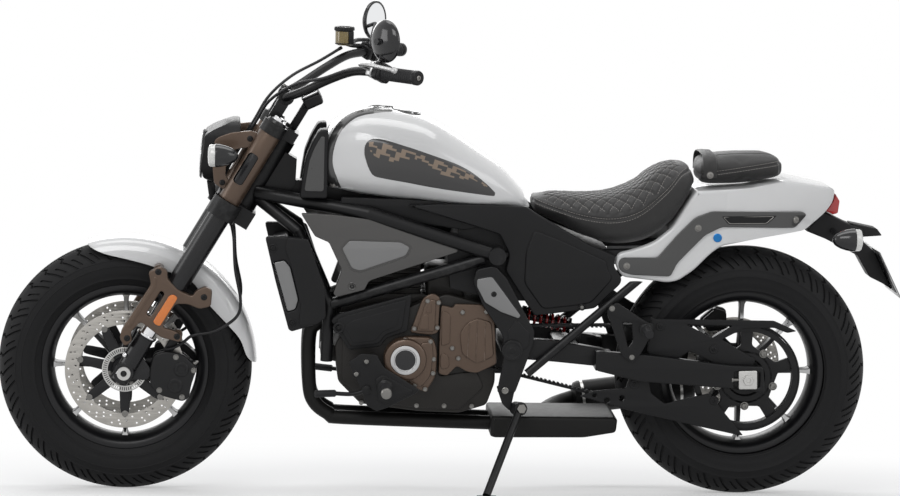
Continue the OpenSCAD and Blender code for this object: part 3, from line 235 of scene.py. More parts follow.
def glass(name, color, alpha):
    """Clear lens."""
    s = Shade(name, color, 0.05, coat=0.5, spread=0.01, bevel=0)
    s.bsdf.inputs["Transmission Weight"].default_value = alpha
    s.bsdf.inputs["IOR"].default_value = 1.45
    return s


GLASS = glass("clear_lens", (0.9, 0.92, 0.94), 0.9)

# ---------- Mesh building ----------


def add(name, bm, matrix, body, shades, replaces=(), slot=None, smooth=32, bevel=0.0):
    """Turns a bmesh in millimetres into a piece that rides on a body, sharp over smooth degrees."""
    bmesh.ops.remove_doubles(bm, verts=bm.verts, dist=0.001)
    bmesh.ops.recalc_face_normals(bm, faces=bm.faces)
    bm.transform(matrix)
    mesh = bpy.data.meshes.new(name)
    bm.to_mesh(mesh)
    bm.free()
    for s in shades if isinstance(shades, (list, tuple)) else [shades]:
        mesh.materials.append(s.mat)
    obj = bpy.data.objects.new(name, mesh)
    bpy.context.scene.collection.objects.link(obj)
    if bevel:
        m = obj.modifiers.new("edges", "BEVEL")
        m.width = bevel / 1000
        m.segments = 2
        m.limit_method = "ANGLE"
        m.angle_limit = math.radians(38)
        m.harden_normals = False
    apply_modifiers(obj)
    mesh = obj.data
    mesh.polygons.foreach_set("use_smooth", [True] * len(mesh.polygons))
    mesh.set_sharp_from_angle(angle=math.radians(smooth))
    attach(obj, body)
    if replaces:
        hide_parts(*([replaces] if isinstance(replaces, str) else replaces))
    return obj


def apply_modifiers(obj):
    """Bakes an object's modifiers into its mesh."""
    if not obj.modifiers:
        return
    bpy.context.view_layer.update()
    done = bpy.data.meshes.new_from_object(obj.evaluated_get(bpy.context.evaluated_depsgraph_get()))
    obj.modifiers.clear()
    obj.data = done


def merge(target, other, matrix=None, index=0):
    """Adds bmesh other to target, with its faces on material index, or as they are for None."""
    if matrix is not None:
        other.transform(matrix)
    if index is not None:
        for f in other.faces:
            f.material_index = index
    temp = bpy.data.meshes.new("temp")
    other.to_mesh(temp)
    other.free()
    target.from_mesh(temp)
    bpy.data.meshes.remove(temp)


def grid_faces(bm, rows, closed_row=False, closed_col=False, index=0):
    """Quads between rows of vertices."""
    made = []
    n = len(rows)
    for j in range(n if closed_col else n - 1):
        a, b = rows[j], rows[(j + 1) % n]
        for i in range(len(a) if closed_row else len(a) - 1):
            k = (i + 1) % len(a)
            f = bm.faces.new((a[i], a[k], b[k], b[i]))
            f.material_index = index
            made.append(f)
    return made


def lathe(profile, sides=96, axis="Y", closed=False, index=0):
    """Surface of revolution of (along, radius) points about an axis."""
    bm = bmesh.new()
    rows = []
    for along, radius in profile:
        row = []
        for i in range(sides):
            a = 2 * math.pi * i / sides
            u, v = radius * math.cos(a), radius * math.sin(a)
            p = {"Y": (u, along, v), "Z": (u, v, along), "X": (along, u, v)}[axis]
            row.append(bm.verts.new(p))
        rows.append(row)
    grid_faces(bm, rows, closed_row=True, closed_col=closed, index=index)
    if not closed:
        for row in (rows[0], rows[-1]):
            if (row[0].co - row[sides // 2].co).length > 0.01:
                bm.faces.new(row).material_index = index
    bmesh.ops.remove_doubles(bm, verts=bm.verts, dist=0.001)
    return bm


def plate(outline, y0, y1, holes=(), chamfer=1.0, round_steps=2):
    """Flat part in side view with its holes, from y0 to y1, with rounded edges."""
    curve = bpy.data.curves.new("plate", "CURVE")
    curve.dimensions = "2D"
    curve.fill_mode = "BOTH"
    for ring in [outline, *holes]:
        s = curve.splines.new("POLY")
        s.points.add(len(ring) - 1)
        for p, q in zip(s.points, ring):
            p.co = (q[0], q[1], 0, 1)
        s.use_cyclic_u = True
    curve.bevel_depth = chamfer
    curve.offset = -chamfer
    curve.bevel_resolution = round_steps
    curve.extrude = max(0.01, (y1 - y0) / 2 - chamfer)
    obj = bpy.data.objects.new("plate", curve)
    bpy.context.scene.collection.objects.link(obj)
    bpy.context.view_layer.update()
    mesh = bpy.data.meshes.new_from_object(obj.evaluated_get(bpy.context.evaluated_depsgraph_get()))
    bpy.data.objects.remove(obj)
    bpy.data.curves.remove(curve)
    bm = bmesh.new()
    bm.from_mesh(mesh)
    bpy.data.meshes.remove(mesh)
    bmesh.ops.remove_doubles(bm, verts=bm.verts, dist=0.001)
    # the plate's own Z becomes the machine's Y
    bm.transform(at(0, (y0 + y1) / 2, 0) @ Matrix.Rotation(math.pi / 2, 4, "X"))
    return bm


def blank(outline, y0, y1):
    """Flat part with sharp edges, to cut with."""
    return plate(outline, y0, y1, chamfer=0.01, round_steps=0)


def slab(points, corner, steps, y0, y1, holes=(), chamfer=1.0, round_steps=2):
    """Flat part whose corners are rounded in side view."""
    return plate(rounded(points, corner, steps), y0, y1, holes, chamfer, round_steps)


def circle(cx, cz, r, n=24):
    """Outline of a circle in side view."""
    return [(cx + r * math.cos(a), cz + r * math.sin(a)) for a in (2 * math.pi * i / n for i in range(n))]


def rounded(points, radius, steps=4):
    """Outline with its corners rounded."""
    out = []
    n = len(points)
    for i in range(n):
        p = Vector(points[i])
        a = Vector(points[i - 1]) - p
        b = Vector(points[(i + 1) % n]) - p
        r = min(radius, a.length * 0.45, b.length * 0.45)
        p0, p1 = p + a.normalized() * r, p + b.normalized() * r
        for k in range(steps + 1):
            t = k / steps
            q = p0 * (1 - t) ** 2 + p * 2 * t * (1 - t) + p1 * t ** 2
            out.append((q.x, q.y))
    return out


def smooth_points(points, steps=6, closed=False):
    """Catmull-Rom curve through points."""
    pts = [Vector(p) for p in points]
    n = len(pts)
    out = []
    for i in range(n if closed else n - 1):
        if closed:
            a, b, c, d = (pts[(i + k) % n] for k in (-1, 0, 1, 2))
        else:
            a, b, c, d = pts[max(i - 1, 0)], pts[i], pts[i + 1], pts[min(i + 2, n - 1)]
        for k in range(steps):
            t = k / steps
            out.append(0.5 * (2 * b + (c - a) * t + (2 * a - 5 * b + 4 * c - d) * t * t
                              + (3 * b - a - 3 * c + d) * t ** 3))
    if not closed:
        out.append(pts[-1])
    return out


def tube(points, radius, sides=16, closed=False):
    """Round tube along points, with a radius or one radius for each point."""
    bm = bmesh.new()
    pts = [Vector(p) for p in points]
    n = len(pts)
    radii = radius if isinstance(radius, (list, tuple)) else [radius] * n
    normal = None
    rows = []
    for i, p in enumerate(pts):
        if closed:
            t = (pts[(i + 1) % n] - pts[i - 1]).normalized()
        else:
            t = (pts[min(i + 1, n - 1)] - pts[max(i - 1, 0)]).normalized()
        if normal is None:
            normal = t.orthogonal().normalized()
        normal = (normal - t * normal.dot(t)).normalized()
        side = t.cross(normal)
        rows.append([bm.verts.new(p + radii[i] * (math.cos(a) * normal + math.sin(a) * side))
                     for a in (2 * math.pi * k / sides for k in range(sides))])
    grid_faces(bm, rows, closed_row=True, closed_col=closed)
    if not closed:
        bm.faces.new(rows[0])
        bm.faces.new(rows[-1])
    return bm


def aimed(bm, base, direction):
    """Moves a piece made along Z to base, along direction."""
    d = Vector(direction).normalized()
    bm.transform(Matrix.Translation(base) @ d.to_track_quat("Z", "Y").to_matrix().to_4x4())
    return bm


def turned(profile, base, direction, sides=24):
    """Surface of revolution of (along, radius) points that starts at base along direction."""
    return aimed(lathe(profile, sides, "Z"), base, direction)


def bolt(base, direction=(0, 1, 0), r=6.0, h=4.0):
    """Button-head bolt with a hexagonal socket."""
    bm = lathe([(0, r * 1.25), (0.8, r * 1.25), (0.8, r), (h * 0.7, r * 0.96), (h, r * 0.75), (h, r * 0.48),
                (h * 0.45, r * 0.44), (h * 0.45, 0.01)], 24, "Z")
    for v in bm.verts:
        d = math.hypot(v.co.x, v.co.y)
        if v.co.z > h * 0.4 and 0.1 < d < r * 0.5:
            a = math.atan2(v.co.y, v.co.x) % (math.pi / 3) - math.pi / 6
            k = math.cos(math.pi / 6) / math.cos(a)
            v.co.x *= k
            v.co.y *= k
    return aimed(bm, base, direction)


def flipped(bm):
    """The piece moved to the other side of the machine's middle."""
    bmesh.ops.recalc_face_normals(bm, faces=bm.faces)
    bmesh.ops.scale(bm, vec=(1, -1, 1), verts=bm.verts)
    bmesh.ops.reverse_faces(bm, faces=bm.faces)
    return bm


def mirrored(bm):
    """Adds the mirror image across the machine's middle."""
    copy = flipped(bm.copy())
    temp = bpy.data.meshes.new("temp")
    copy.to_mesh(temp)
    copy.free()
    bm.from_mesh(temp)
    bpy.data.meshes.remove(temp)
    return bm

# ---------- Tyres ----------

TREAD_PITCHES = 40
TREAD_EDGE = 72
GROOVE, SHORT_GROOVE = 4.5, 3.5


def chevron(deg):
    """How far round a groove has run at an angle over the crown, in pitches."""
    d = abs(deg)
    if d < 26:
        return 0.40 * d / 26
    if d < 34:
        return 0.40 - 0.14 * (d - 26) / 8
    return 0.26 + 0.75 * (d - 34) / (TREAD_EDGE - 34)


def tyre(name, outer_r, width, bead_r, matrix, body, node):
    """Tyre with a cut cruiser tread and ridged sidewalls."""
    half = width / 2
    ring_r = outer_r - half
    end = math.degrees(math.acos((bead_r - ring_r) / half))
    # (angle over the crown, in the ring groove, in the long groove, in the short groove)
    rows = [(d, *sunk) for angles, sunk in (
        ((0, 4, 7.5), (0, 0, 0)), ((8.2, 11.8), (1, 0, 0)), ((12.5, 15), (0, 0, 0)),
        ((15.6, 20, 26, 30, 34, 38, 41), (0, 1, 0)), ((41.6, 48, 54, 60, 63), (0, 1, 1)),
        ((63.6, 69), (0, 1, 0)), ((69.6, TREAD_EDGE), (0, 0, 0))) for d in angles]
    # sidewall with two fine ridges: (angle, height)
    side = [(73, -0.9), (78, -1.0), (84, -1.0), (84.8, -0.2), (86.2, -0.2), (87, -1.0), (96, -1.0),
            (105, -1.0), (113, -0.9), (114, 0.0), (116.5, 0.0), (117.5, -1.2), (124, -1.2), (130, -0.6),
            (end, 0)]
    side = [s for s in side if s[0] <= end]
    # (place in the pitch, in the long groove, in the short groove)
    cols = [(0.0, 0, 0), (0.12, 0, 0), (0.15, 1, 0), (0.27, 1, 0), (0.30, 0, 0), (0.45, 0, 0), (0.58, 0, 0),
            (0.61, 0, 1), (0.70, 0, 1), (0.73, 0, 0), (0.88, 0, 0)]
    bm = bmesh.new()
    whole = []
    signed = [(-1, r) for r in reversed(rows[1:])] + [(1, r) for r in rows]
    lows = [(-1, (d, h)) for d, h in reversed(side)]
    highs = [(1, (d, h)) for d, h in side]

    def ring_of(sign, deg, depth_of, shift):
        ring = []
        a = math.radians(deg)
        for p in range(TREAD_PITCHES):
            for c in cols:
                sunk = depth_of(c)
                r = half - sunk
                turn = 2 * math.pi * (p + c[0] + shift) / TREAD_PITCHES
                rad = ring_r + r * math.cos(a)
                ring.append(bm.verts.new((rad * math.cos(turn), sign * r * math.sin(a),
                                          rad * math.sin(turn))))
        return ring

    for sign, (deg, h) in lows:
        whole.append(ring_of(sign, deg, lambda c, h=h: -h, chevron(TREAD_EDGE)))
    for sign, (deg, g0, g1, g2) in signed:
        whole.append(ring_of(sign, deg,
                             lambda c, g0=g0, g1=g1, g2=g2: GROOVE if g0 or (g1 and c[1])
                             else (SHORT_GROOVE if g2 and c[2] else 0),
                             chevron(deg)))
    for sign, (deg, h) in highs:
        whole.append(ring_of(sign, deg, lambda c, h=h: -h, chevron(TREAD_EDGE)))
    # both flanks run down inside the rim's lips
    for place, sign in ((0, -1), (len(whole) + 1, 1)):
        inner = [bm.verts.new((bead_r * math.cos(t), sign * (half * math.sin(math.radians(end)) - 9),
                               bead_r * math.sin(t)))
                 for t in (math.atan2(v.co.z, v.co.x) for v in whole[0 if place == 0 else -1])]
        whole.insert(place, inner)
    grid_faces(bm, whole, closed_row=True)
    return add(name, bm, matrix, body, RUBBER, replaces=node, slot="rubber", smooth=34)


tyre("front_tyre_tread", FRONT_R, 130, 211, FRONT_AXLE, "front_wheel", "front_tyre")
tyre("rear_tyre_tread", REAR_R, 150, 211, REAR_AXLE, "rear_wheel", "rear_tyre")

# ---------- Rims, discs and pulley ----------

SPOKES = 8


def rim(name, tyre_w, hub_half, bore_r, matrix, body, node):
    """Cast rim with tapered spokes whose sides are machined near the rim."""
    lip = tyre_w * 0.32
    bm = lathe([(-lip - 5, 203), (-lip - 5, 209.5), (-lip - 3.5, 211), (-lip - 1.5, 211), (-lip, 209.5),
                (-lip, 203), (-lip + 10, 198), (0, 196), (lip - 10, 198), (lip, 203), (lip, 209.5),
                (lip + 1.5, 211), (lip + 3.5, 211), (lip + 5, 209.5), (lip + 5, 203), (lip + 3, 196),
                (lip - 2, 190), (lip - 12, 186), (20, 181), (0, 179.5), (-20, 181), (-lip + 12, 186),
                (-lip + 2, 190), (-lip - 3, 196)], 128, closed=True)
    merge(bm, lathe([(-hub_half, bore_r), (-hub_half, 40), (-hub_half + 3, 44), (-22, 45), (-14, 41),
                     (14, 41),
                     (22, 45), (hub_half - 3, 44), (hub_half, 40), (hub_half, bore_r)], 64, closed=True))
    for i in range(SPOKES):
        turn = Matrix.Rotation(2 * math.pi * i / SPOKES + math.pi / 2, 4, "Y")
        spoke = bmesh.new()
        rows = []
        # (radius, half thickness, half width)
        for r, t, w in ((38, 10, 21), (60, 8.2, 20), (100, 6.6, 17), (135, 6.0, 16), (136, 5.6, 15.5),
                        (160, 5.4, 17), (174, 6.4, 20), (181, 10, 21.5)):
            ring = []
            for sx, sy in ((-1, -0.7), (-0.75, -1), (0.75, -1), (1, -0.7), (1, 0.7), (0.75, 1),
                           (-0.75, 1), (-1, 0.7)):
                ring.append(spoke.verts.new((t * sx, w * sy, r)))
            rows.append(ring)
        grid_faces(spoke, rows, closed_row=True)
        spoke.transform(turn)
        bmesh.ops.recalc_face_normals(spoke, faces=spoke.faces)
        # the sides of the spokes are machined near the rim
        for f in spoke.faces:
            r = math.hypot(f.calc_center_median().x, f.calc_center_median().z)
            f.material_index = 1 if 136 < r < 179 and abs(f.normal.y) > 0.55 else 0
        merge(bm, spoke, index=None)
    # valve
    merge(bm, turned([(0, 4), (6, 4), (7, 3), (22, 3), (22, 4), (30, 4), (31, 2)], (0, 12, -181),
                     (0, 0.55, 0.83), 12))
    return add(name, bm, matrix, body, [WHEEL, EDGE], replaces=node, slot="wheel_black", smooth=40)


rim("front_cast_rim", 130, 72.5, 12.1, FRONT_AXLE, "front_wheel", "front_rim")
rim("rear_cast_rim", 150, 72, 11.1, REAR_AXLE, "rear_wheel", "rear_rim")


def brake_disc(bm, r, bore, y0, y1, sign=1):
    """Drilled band with floating buttons on a windowed carrier."""
    band = r - 36
    holes = []
    for i in range(42):
        a = 2 * math.pi * i / 42
        for k, rr in enumerate((r - 9, r - 18, r - 27)):
            if (i + k) % 3 != 1:
                holes.append(circle(rr * math.cos(a + 0.03 * k), rr * math.sin(a + 0.03 * k), 2.6, 10))
    merge(bm, plate(circle(0, 0, r, 120), y0, y1, [circle(0, 0, band, 96), *holes], 0.5, 1), index=0)
    # carrier with seven arms
    outline = []
    for i in range(7):
        a = 2 * math.pi * i / 7 + math.radians(12)
        for k, rr in ((-0.30, bore + 16), (-0.12, band - 14), (-0.09, band - 1), (0.09, band - 1),
                      (0.12, band - 14), (0.30, bore + 16)):
            outline.append((rr * math.cos(a + k), rr * math.sin(a + k)))
    merge(bm, slab(outline, 5, 3, y0 + 0.8, y1 - 0.8, [circle(0, 0, bore, 48)], 0.8, 1), index=1)
    for i in range(7):
        a = 2 * math.pi * i / 7 + math.radians(12)
        b = (band * math.cos(a), (y1 if sign > 0 else y0) - 0.5 * sign, band * math.sin(a))
        merge(bm, turned([(0, 8), (1.6, 8), (2, 7.4), (2, 4.2), (1, 4), (1, 0.5)], b, (0, sign, 0), 20),
              index=2)
        b = ((bore + 9) * math.cos(a + 0.45), (y1 if sign > 0 else y0) - 0.3 * sign,
             (bore + 9) * math.sin(a + 0.45))
        merge(bm, bolt(b, (0, sign, 0), 4.2, 3), index=2)


bm = bmesh.new()
for s in (1, -1):
    y = sorted((s * 72.5, s * 77.5))
    brake_disc(bm, 150, 30.3, y[0], y[1], s)
    nose = sorted((s * 72.5, s * 80.5))
    merge(bm, lathe([(nose[0], 12.1), (nose[0], 30), (nose[1], 30), (nose[1], 12.1)], 40, closed=True),
          index=1)
# slotted speed ring on the left
slots = []
for i in range(60):
    a = 2 * math.pi * i / 60
    u, v = Vector((math.cos(a), math.sin(a))), Vector((-math.sin(a), math.cos(a)))
    slots.append([tuple(p) for p in (u * 45 - v * 0.9, u * 45 + v * 0.9, u * 54 + v * 1.2,
                                     u * 54 - v * 1.2)])
merge(bm, plate(circle(0, 0, 57, 96), 77.5, 79.5, [circle(0, 0, 42, 72), *slots], 0.25, 1), index=3)
add("front_brake_discs", bm, FRONT_AXLE, "front_wheel", [DISC, WHEEL, BOLT, STEEL], replaces="front_discs",
    slot="disc_steel", smooth=30)

bm = bmesh.new()
brake_disc(bm, 120, 36, -99.5, -94.5, -1)
merge(bm, lathe([(-94.5, 19), (-94.5, 44), (-72, 44), (-72, 19)], 48, closed=True), index=1)
add("rear_brake_disc", bm, REAR_AXLE, "rear_wheel", [DISC, WHEEL, BOLT], replaces="rear_disc",
    slot="disc_steel",
    smooth=30)

bm = lathe([(88, 119), (88, 131.5), (89, 133), (111, 133), (112, 131.5), (112, 119)], 128, closed=True)
outline = []
for i in range(5):
    a = 2 * math.pi * i / 5 + math.radians(18)
    for k, r in ((-0.16, 84), (-0.13, 121), (0.13, 121), (0.16, 84)):
        outline.append((r * math.cos(a + k), r * math.sin(a + k)))
merge(bm, slab(outline, 7, 4, 95, 106, [circle(0, 0, 62, 64)], 1.2, 2))
merge(bm, lathe([(72, 19), (72, 60), (90, 60), (90, 70), (105, 70), (106, 68), (106, 50), (100, 46),
                 (100, 19)], 64,
                closed=True))
for i in range(5):
    a = 2 * math.pi * i / 5 + math.radians(54)
    merge(bm, bolt((75 * math.cos(a), 105.5, 75 * math.sin(a)), (0, 1, 0), 8.5, 6), index=1)
add("belt_pulley", bm, REAR_AXLE, "rear_wheel", [BLACK, BOLT], replaces="rear_pulley", slot="satin_black")

# ---------- Camera, lights and floor ----------

# the photo's view, in millimetres in the upright machine's frame
eye = Vector((479, 7551, 1760))
aim = Vector((-32.6, 0, 629))
ahead = (aim - eye).normalized()
right = ahead.cross(Vector((0, 0, 1))).normalized()
up = right.cross(ahead)
ROLL = 0.0238
right, up = (math.cos(ROLL) * right + math.sin(ROLL) * up, math.cos(ROLL) * up - math.sin(ROLL) * right)
turn = Matrix((right, up, -ahead)).transposed().to_4x4()
turn = Matrix.Rotation(-LEAN, 4, "X") @ turn
camera_data = bpy.data.cameras.new("camera")
camera_data.lens = 120.1
camera_data.sensor_width = 36
camera_data.clip_end = 100
camera = bpy.data.objects.new("camera", camera_data)
camera.matrix_world = Matrix.Translation(UPRIGHT @ eye) @ turn
bpy.context.scene.collection.objects.link(camera)
bpy.context.scene.camera = camera


def softbox(name, place, towards, size, power):
    """Large soft area lamp."""
    data = bpy.data.lights.new(name, "AREA")
    data.shape = "RECTANGLE"
    data.size, data.size_y = size
    data.energy = power
    lamp = bpy.data.objects.new(name, data)
    lamp.location = place
    lamp.rotation_euler = (Vector(towards) - Vector(place)).to_track_quat("-Z", "Y").to_euler()
    bpy.context.scene.collection.objects.link(lamp)


softbox("key", (1.6, 4.2, 3.6), (0, 0, 0.5), (3.2, 2.2), 95)
softbox("fill", (-3.4, 2.6, 2.2), (0, 0, 0.5), (2.4, 2.4), 34)
softbox("top", (0, -0.2, 4.2), (0, 0, 0.5), (4.0, 1.6), 60)
softbox("back", (0.5, -4.0, 2.6), (0, 0, 0.6), (3.6, 1.8), 60)
softbox("nose", (4.4, 0.6, 1.8), (0.4, 0, 0.6), (1.8, 2.0), 30)


def is_background(tree):
    """Output that is 1 for camera, glossy and transmission rays."""
    path = tree.nodes.new("ShaderNodeLightPath")
    value = path.outputs["Is Camera Ray"]
    for other in ("Is Glossy Ray", "Is Transmission Ray"):
        either = tree.nodes.new("ShaderNodeMath")
        either.operation = "MAXIMUM"
        tree.links.new(value, either.inputs[0])
        tree.links.new(path.outputs[other], either.inputs[1])
        value = either.outputs[0]
    return value


world = bpy.data.worlds.new("studio")
bpy.context.scene.world = world
world.use_nodes = True
tree = world.node_tree
tree.nodes.clear()
plain = tree.nodes.new("ShaderNodeBackground")
plain.inputs["Color"].default_value = (0.82, 0.84, 0.87, 1)
plain.inputs["Strength"].default_value = 0.35
white = tree.nodes.new("ShaderNodeBackground")
white.inputs["Color"].default_value = (1, 1, 1, 1)
mix = tree.nodes.new("ShaderNodeMixShader")
tree.links.new(is_background(tree), mix.inputs[0])
tree.links.new(plain.outputs[0], mix.inputs[1])
tree.links.new(white.outputs[0], mix.inputs[2])
tree.links.new(mix.outputs[0], tree.nodes.new("ShaderNodeOutputWorld").inputs[0])

bm = bmesh.new()
for x, y in ((-60, -60), (60, -60), (60, 60), (-60, 60)):
    bm.verts.new((x, y, 0))
bm.faces.new(bm.verts)
mesh = bpy.data.meshes.new("floor")
bm.to_mesh(mesh)
bm.free()
floor = bpy.data.objects.new("floor", mesh)
bpy.context.scene.collection.objects.link(floor)
material = bpy.data.materials.new("pale_floor")
material.use_nodes = True
tree = material.node_tree
base = tree.nodes["Principled BSDF"]
base.inputs["Base Color"].default_value = (0.88, 0.88, 0.88, 1)
base.inputs["Roughness"].default_value = 0.8
# away from the object the floor is as pale as the backdrop
spot = tree.nodes.new("ShaderNodeTexCoord")
length = tree.nodes.new("ShaderNodeVectorMath")
length.operation = "LENGTH"
tree.links.new(spot.outputs["Object"], length.inputs[0])
fade = tree.nodes.new("ShaderNodeMapRange")
fade.interpolation_type = "SMOOTHSTEP"
fade.inputs["From Min"].default_value = 0.9
fade.inputs["From Max"].default_value = 2.4
fade.inputs["To Min"].default_value = 0.35
tree.links.new(length.outputs["Value"], fade.inputs["Value"])
amount = tree.nodes.new("ShaderNodeMath")
amount.operation = "MULTIPLY"
tree.links.new(fade.outputs["Result"], amount.inputs[0])
tree.links.new(is_background(tree), amount.inputs[1])
glow = tree.nodes.new("ShaderNodeEmission")
glow.inputs["Strength"].default_value = 1.0
mix = tree.nodes.new("ShaderNodeMixShader")
tree.links.new(amount.outputs[0], mix.inputs[0])
tree.links.new(base.outputs[0], mix.inputs[1])
tree.links.new(glow.outputs[0], mix.inputs[2])
tree.links.new(mix.outputs[0], tree.nodes["Material Output"].inputs[0])
mesh.materials.append(material)

bpy.context.scene.view_settings.view_transform = "Standard"

# ---------- Smooth skins ----------


def spline(rows, steps):
    """Smoothly fills in between rows of numbers."""
    out = []
    n = len(rows)
    for i in range(n - 1):
        a, b, c, d = rows[max(i - 1, 0)], rows[i], rows[i + 1], rows[min(i + 2, n - 1)]
        for k in range(steps):
            t = k / steps
            out.append([0.5 * (2 * q + (r - p) * t + (2 * p - 5 * q + 4 * r - s) * t * t
                               + (3 * q - p - 3 * r + s) * t ** 3) for p, q, r, s in zip(a, b, c, d)])
    out.append(list(rows[-1]))
    return out


def power(v, e):
    return math.copysign(abs(v) ** e, v)


def skin(sections, sides=64, cap=8, grow=0.0):
    """Closed skin through [x, half width, low z, high z, squareness] sections, with rounded ends."""
    ends = []
    first, last = sections[0], sections[-1]
    for base, sign in ((first, -1), (last, 1)):
        ring = []
        for k in range(1, 5):
            a = math.pi / 2 * k / 5
            mid, half = (base[2] + base[3]) / 2, (base[3] - base[2]) / 2
            pull = cap * (1 - math.cos(a))
            ring.append([base[0] + sign * cap * (math.sin(a) - 1) , base[1] - pull, mid - half + pull,
                         mid + half - pull,
                         base[4]])
        ends.append(ring)
    body = [s for s in sections if first[0] + cap <= s[0] <= last[0] - cap] if cap else sections
    whole = [*reversed(ends[0]), *body, *ends[1]] if cap else sections
    bm = bmesh.new()
    rows = []
    for x, w, low, high, e in whole:
        mid, half = (low + high) / 2, (high - low) / 2
        rows.append([bm.verts.new((x, (w + grow) * power(math.cos(a), 2 / e),
                                   mid + (half + grow) * power(math.sin(a), 2 / e)))
                     for a in (2 * math.pi * (i + 0.5) / sides for i in range(sides))])
    grid_faces(bm, rows, closed_row=True)
    for row in (rows[0], rows[-1]):
        c = sum((v.co for v in row), Vector()) / len(row)
        small = [bm.verts.new(c + (v.co - c) * 0.5) for v in row]
        grid_faces(bm, [row, small], closed_row=True)
        bm.faces.new(small)
    return bm


def side_y(sections, x, z):
    """Half width of a skin at a place in side view."""
    for a, b in zip(sections, sections[1:]):
        if a[0] <= x <= b[0]:
            t = (x - a[0]) / (b[0] - a[0])
            w, low, high, e = (p + (q - p) * t for p, q in zip(a[1:], b[1:]))
            k = min(0.999, abs((z - (low + high) / 2) / ((high - low) / 2)))
            return w * (1 - k ** e) ** (1 / e)
    return 0


TANK = spline([
    [-228, 60, 732, 762, 2.2], [-200, 90, 730, 796, 2.3], [-150, 114, 731, 846, 2.4],
    [-90, 133.5, 734, 888, 2.4],
    [-33, 144, 740, 926, 2.4], [30, 150, 748, 963, 2.4], [90, 150, 755, 979, 2.4],
    [140, 148.5, 760, 986, 2.4],
    [195, 141, 768, 985, 2.5], [235, 129, 776, 972, 2.6], [268, 114, 782, 950, 2.7],
    [292, 99, 790, 930, 3]], 6)
TANK_FRONT = 283
bm = skin(TANK, 80, cap=12)
for f in bm.faces:
    f.material_index = 1 if f.calc_center_median().x > TANK_FRONT else 0
add("tank_shell", bm, UPRIGHT, "chassis", [PEARL, GREY], replaces="fuel_tank", slot="pearl_white",
    smooth=60)


def patch(sections, top, bottom, lift, sink, rows=10):
    """Thin raised patch on a skin's side between two curves with as many points each."""
    bm = bmesh.new()
    grid = []
    for (x0, z0), (x1, z1) in zip(top, bottom):
        line = []
        for k in range(rows + 1):
            t = k / rows
            x, z = x0 + (x1 - x0) * t, z0 + (z1 - z0) * t
            line.append((x, side_y(sections, x, z), z))
        grid.append(line)
    outer = []
    n, m = len(grid), rows + 1
    for i in range(n):
        line = []
        for j in range(m):
            edge = min(i, n - 1 - i, j, m - 1 - j)
            x, y, z = grid[i][j]
            du = Vector(grid[min(i + 1, n - 1)][j]) - Vector(grid[max(i - 1, 0)][j])
            dv = Vector(grid[i][min(j + 1, m - 1)]) - Vector(grid[i][max(j - 1, 0)])
            normal = du.cross(dv)
            normal = normal.normalized() if normal.length > 1e-6 else Vector((0, 1, 0))
            if normal.y < 0:
                normal = -normal
            line.append(bm.verts.new(Vector((x, y, z)) + normal * (lift if edge else -sink)))
        outer.append(line)
    grid_faces(bm, outer)
    return bm


def both(name, bm, *args, **kw):
    """Adds a left piece together with its mirror image."""
    bmesh.ops.recalc_face_normals(bm, faces=bm.faces)
    return add(name, mirrored(bm), *args, **kw)


def sampled(points, n):
    """n points evenly along a smooth curve."""
    pts = [Vector(p) for p in smooth_points([(x, z, 0) for x, z in points], 8)]
    far = [0.0]
    for a, b in zip(pts, pts[1:]):
        far.append(far[-1] + (b - a).length)
    out = []
    j = 0
    for i in range(n):
        d = far[-1] * i / (n - 1)
        while j < len(far) - 2 and far[j + 1] < d:
            j += 1
        t = (d - far[j]) / max(1e-9, far[j + 1] - far[j])
        p = pts[j].lerp(pts[j + 1], min(1, t))
        out.append((p.x, p.y))
    return out


# teardrop panel on the tank's side with a plain stepped pattern along its top
bm = patch(TANK,
           sampled([(-136, 787), (-118, 806), (-82, 836), (-43, 859), (14, 881), (91, 906), (150, 922),
                    (180, 921),
                    (193, 908), (196, 893)], 64),
           sampled([(-136, 782), (-127, 780), (-80, 786), (13, 798), (90, 811), (150, 821), (172, 827),
                    (184, 845),
                    (192, 868), (196, 885)], 64), 1.0, 0.6, rows=18)
for k, f in enumerate(bm.faces):
    i, j = divmod(k, 18)
    step = ((i // 2) * 7 + j * 5) % 11
    high = j / 18 < 0.36 - 0.14 * math.sin(i * 0.22)
    f.material_index = 1 if high and step in (0, 2, 3, 7, 8, 9) and 4 < i < 58 and j > 1 else 0
both("tank_emblem", bm, UPRIGHT, "chassis",
     [Shade("emblem_dark", (0.012, 0.011, 0.011), 0.3, coat=0.6, bevel=0),
      Shade("emblem_bronze", (0.2, 0.15, 0.11), 0.35, metal=0.5, coat=0.6, bevel=0)], slot="trim_grey")

bm = patch(TANK,
           sampled([(120, 988), (168, 989), (225, 978), (264, 950), (286, 905), (291, 859), (289, 813),
                    (280, 788)], 48),
           sampled([(120, 981), (168, 978), (217, 966), (254, 932), (270, 890), (272, 852), (259, 814),
                    (248, 788)], 48),
           3.0, 0.6, rows=6)
merge(bm, bolt((272, side_y(TANK, 272, 800) + 2.5, 800), (0.35, 1, 0), 7, 4), index=1)
both("knee_trims", bm, UPRIGHT, "chassis", [GREY, BOLT], slot="trim_grey")

# shrouds at the tank's front, beside the steering head
bm = slab([(353, 776), (347, 824), (340, 868), (325, 906), (307, 938), (285, 940), (285, 766),
           (352, 766)], 8, 4, 60, 112, chamfer=5, round_steps=3)
merge(bm, slab([(343, 784), (337, 826), (331, 862), (318, 896), (302, 922), (294, 922), (294, 784)], 8, 4,
               110, 113.5, chamfer=1.5), index=1)
both("tank_shrouds", bm, UPRIGHT, "chassis", [PLASTIC, GREY], replaces="tank_trims", slot="trim_grey")

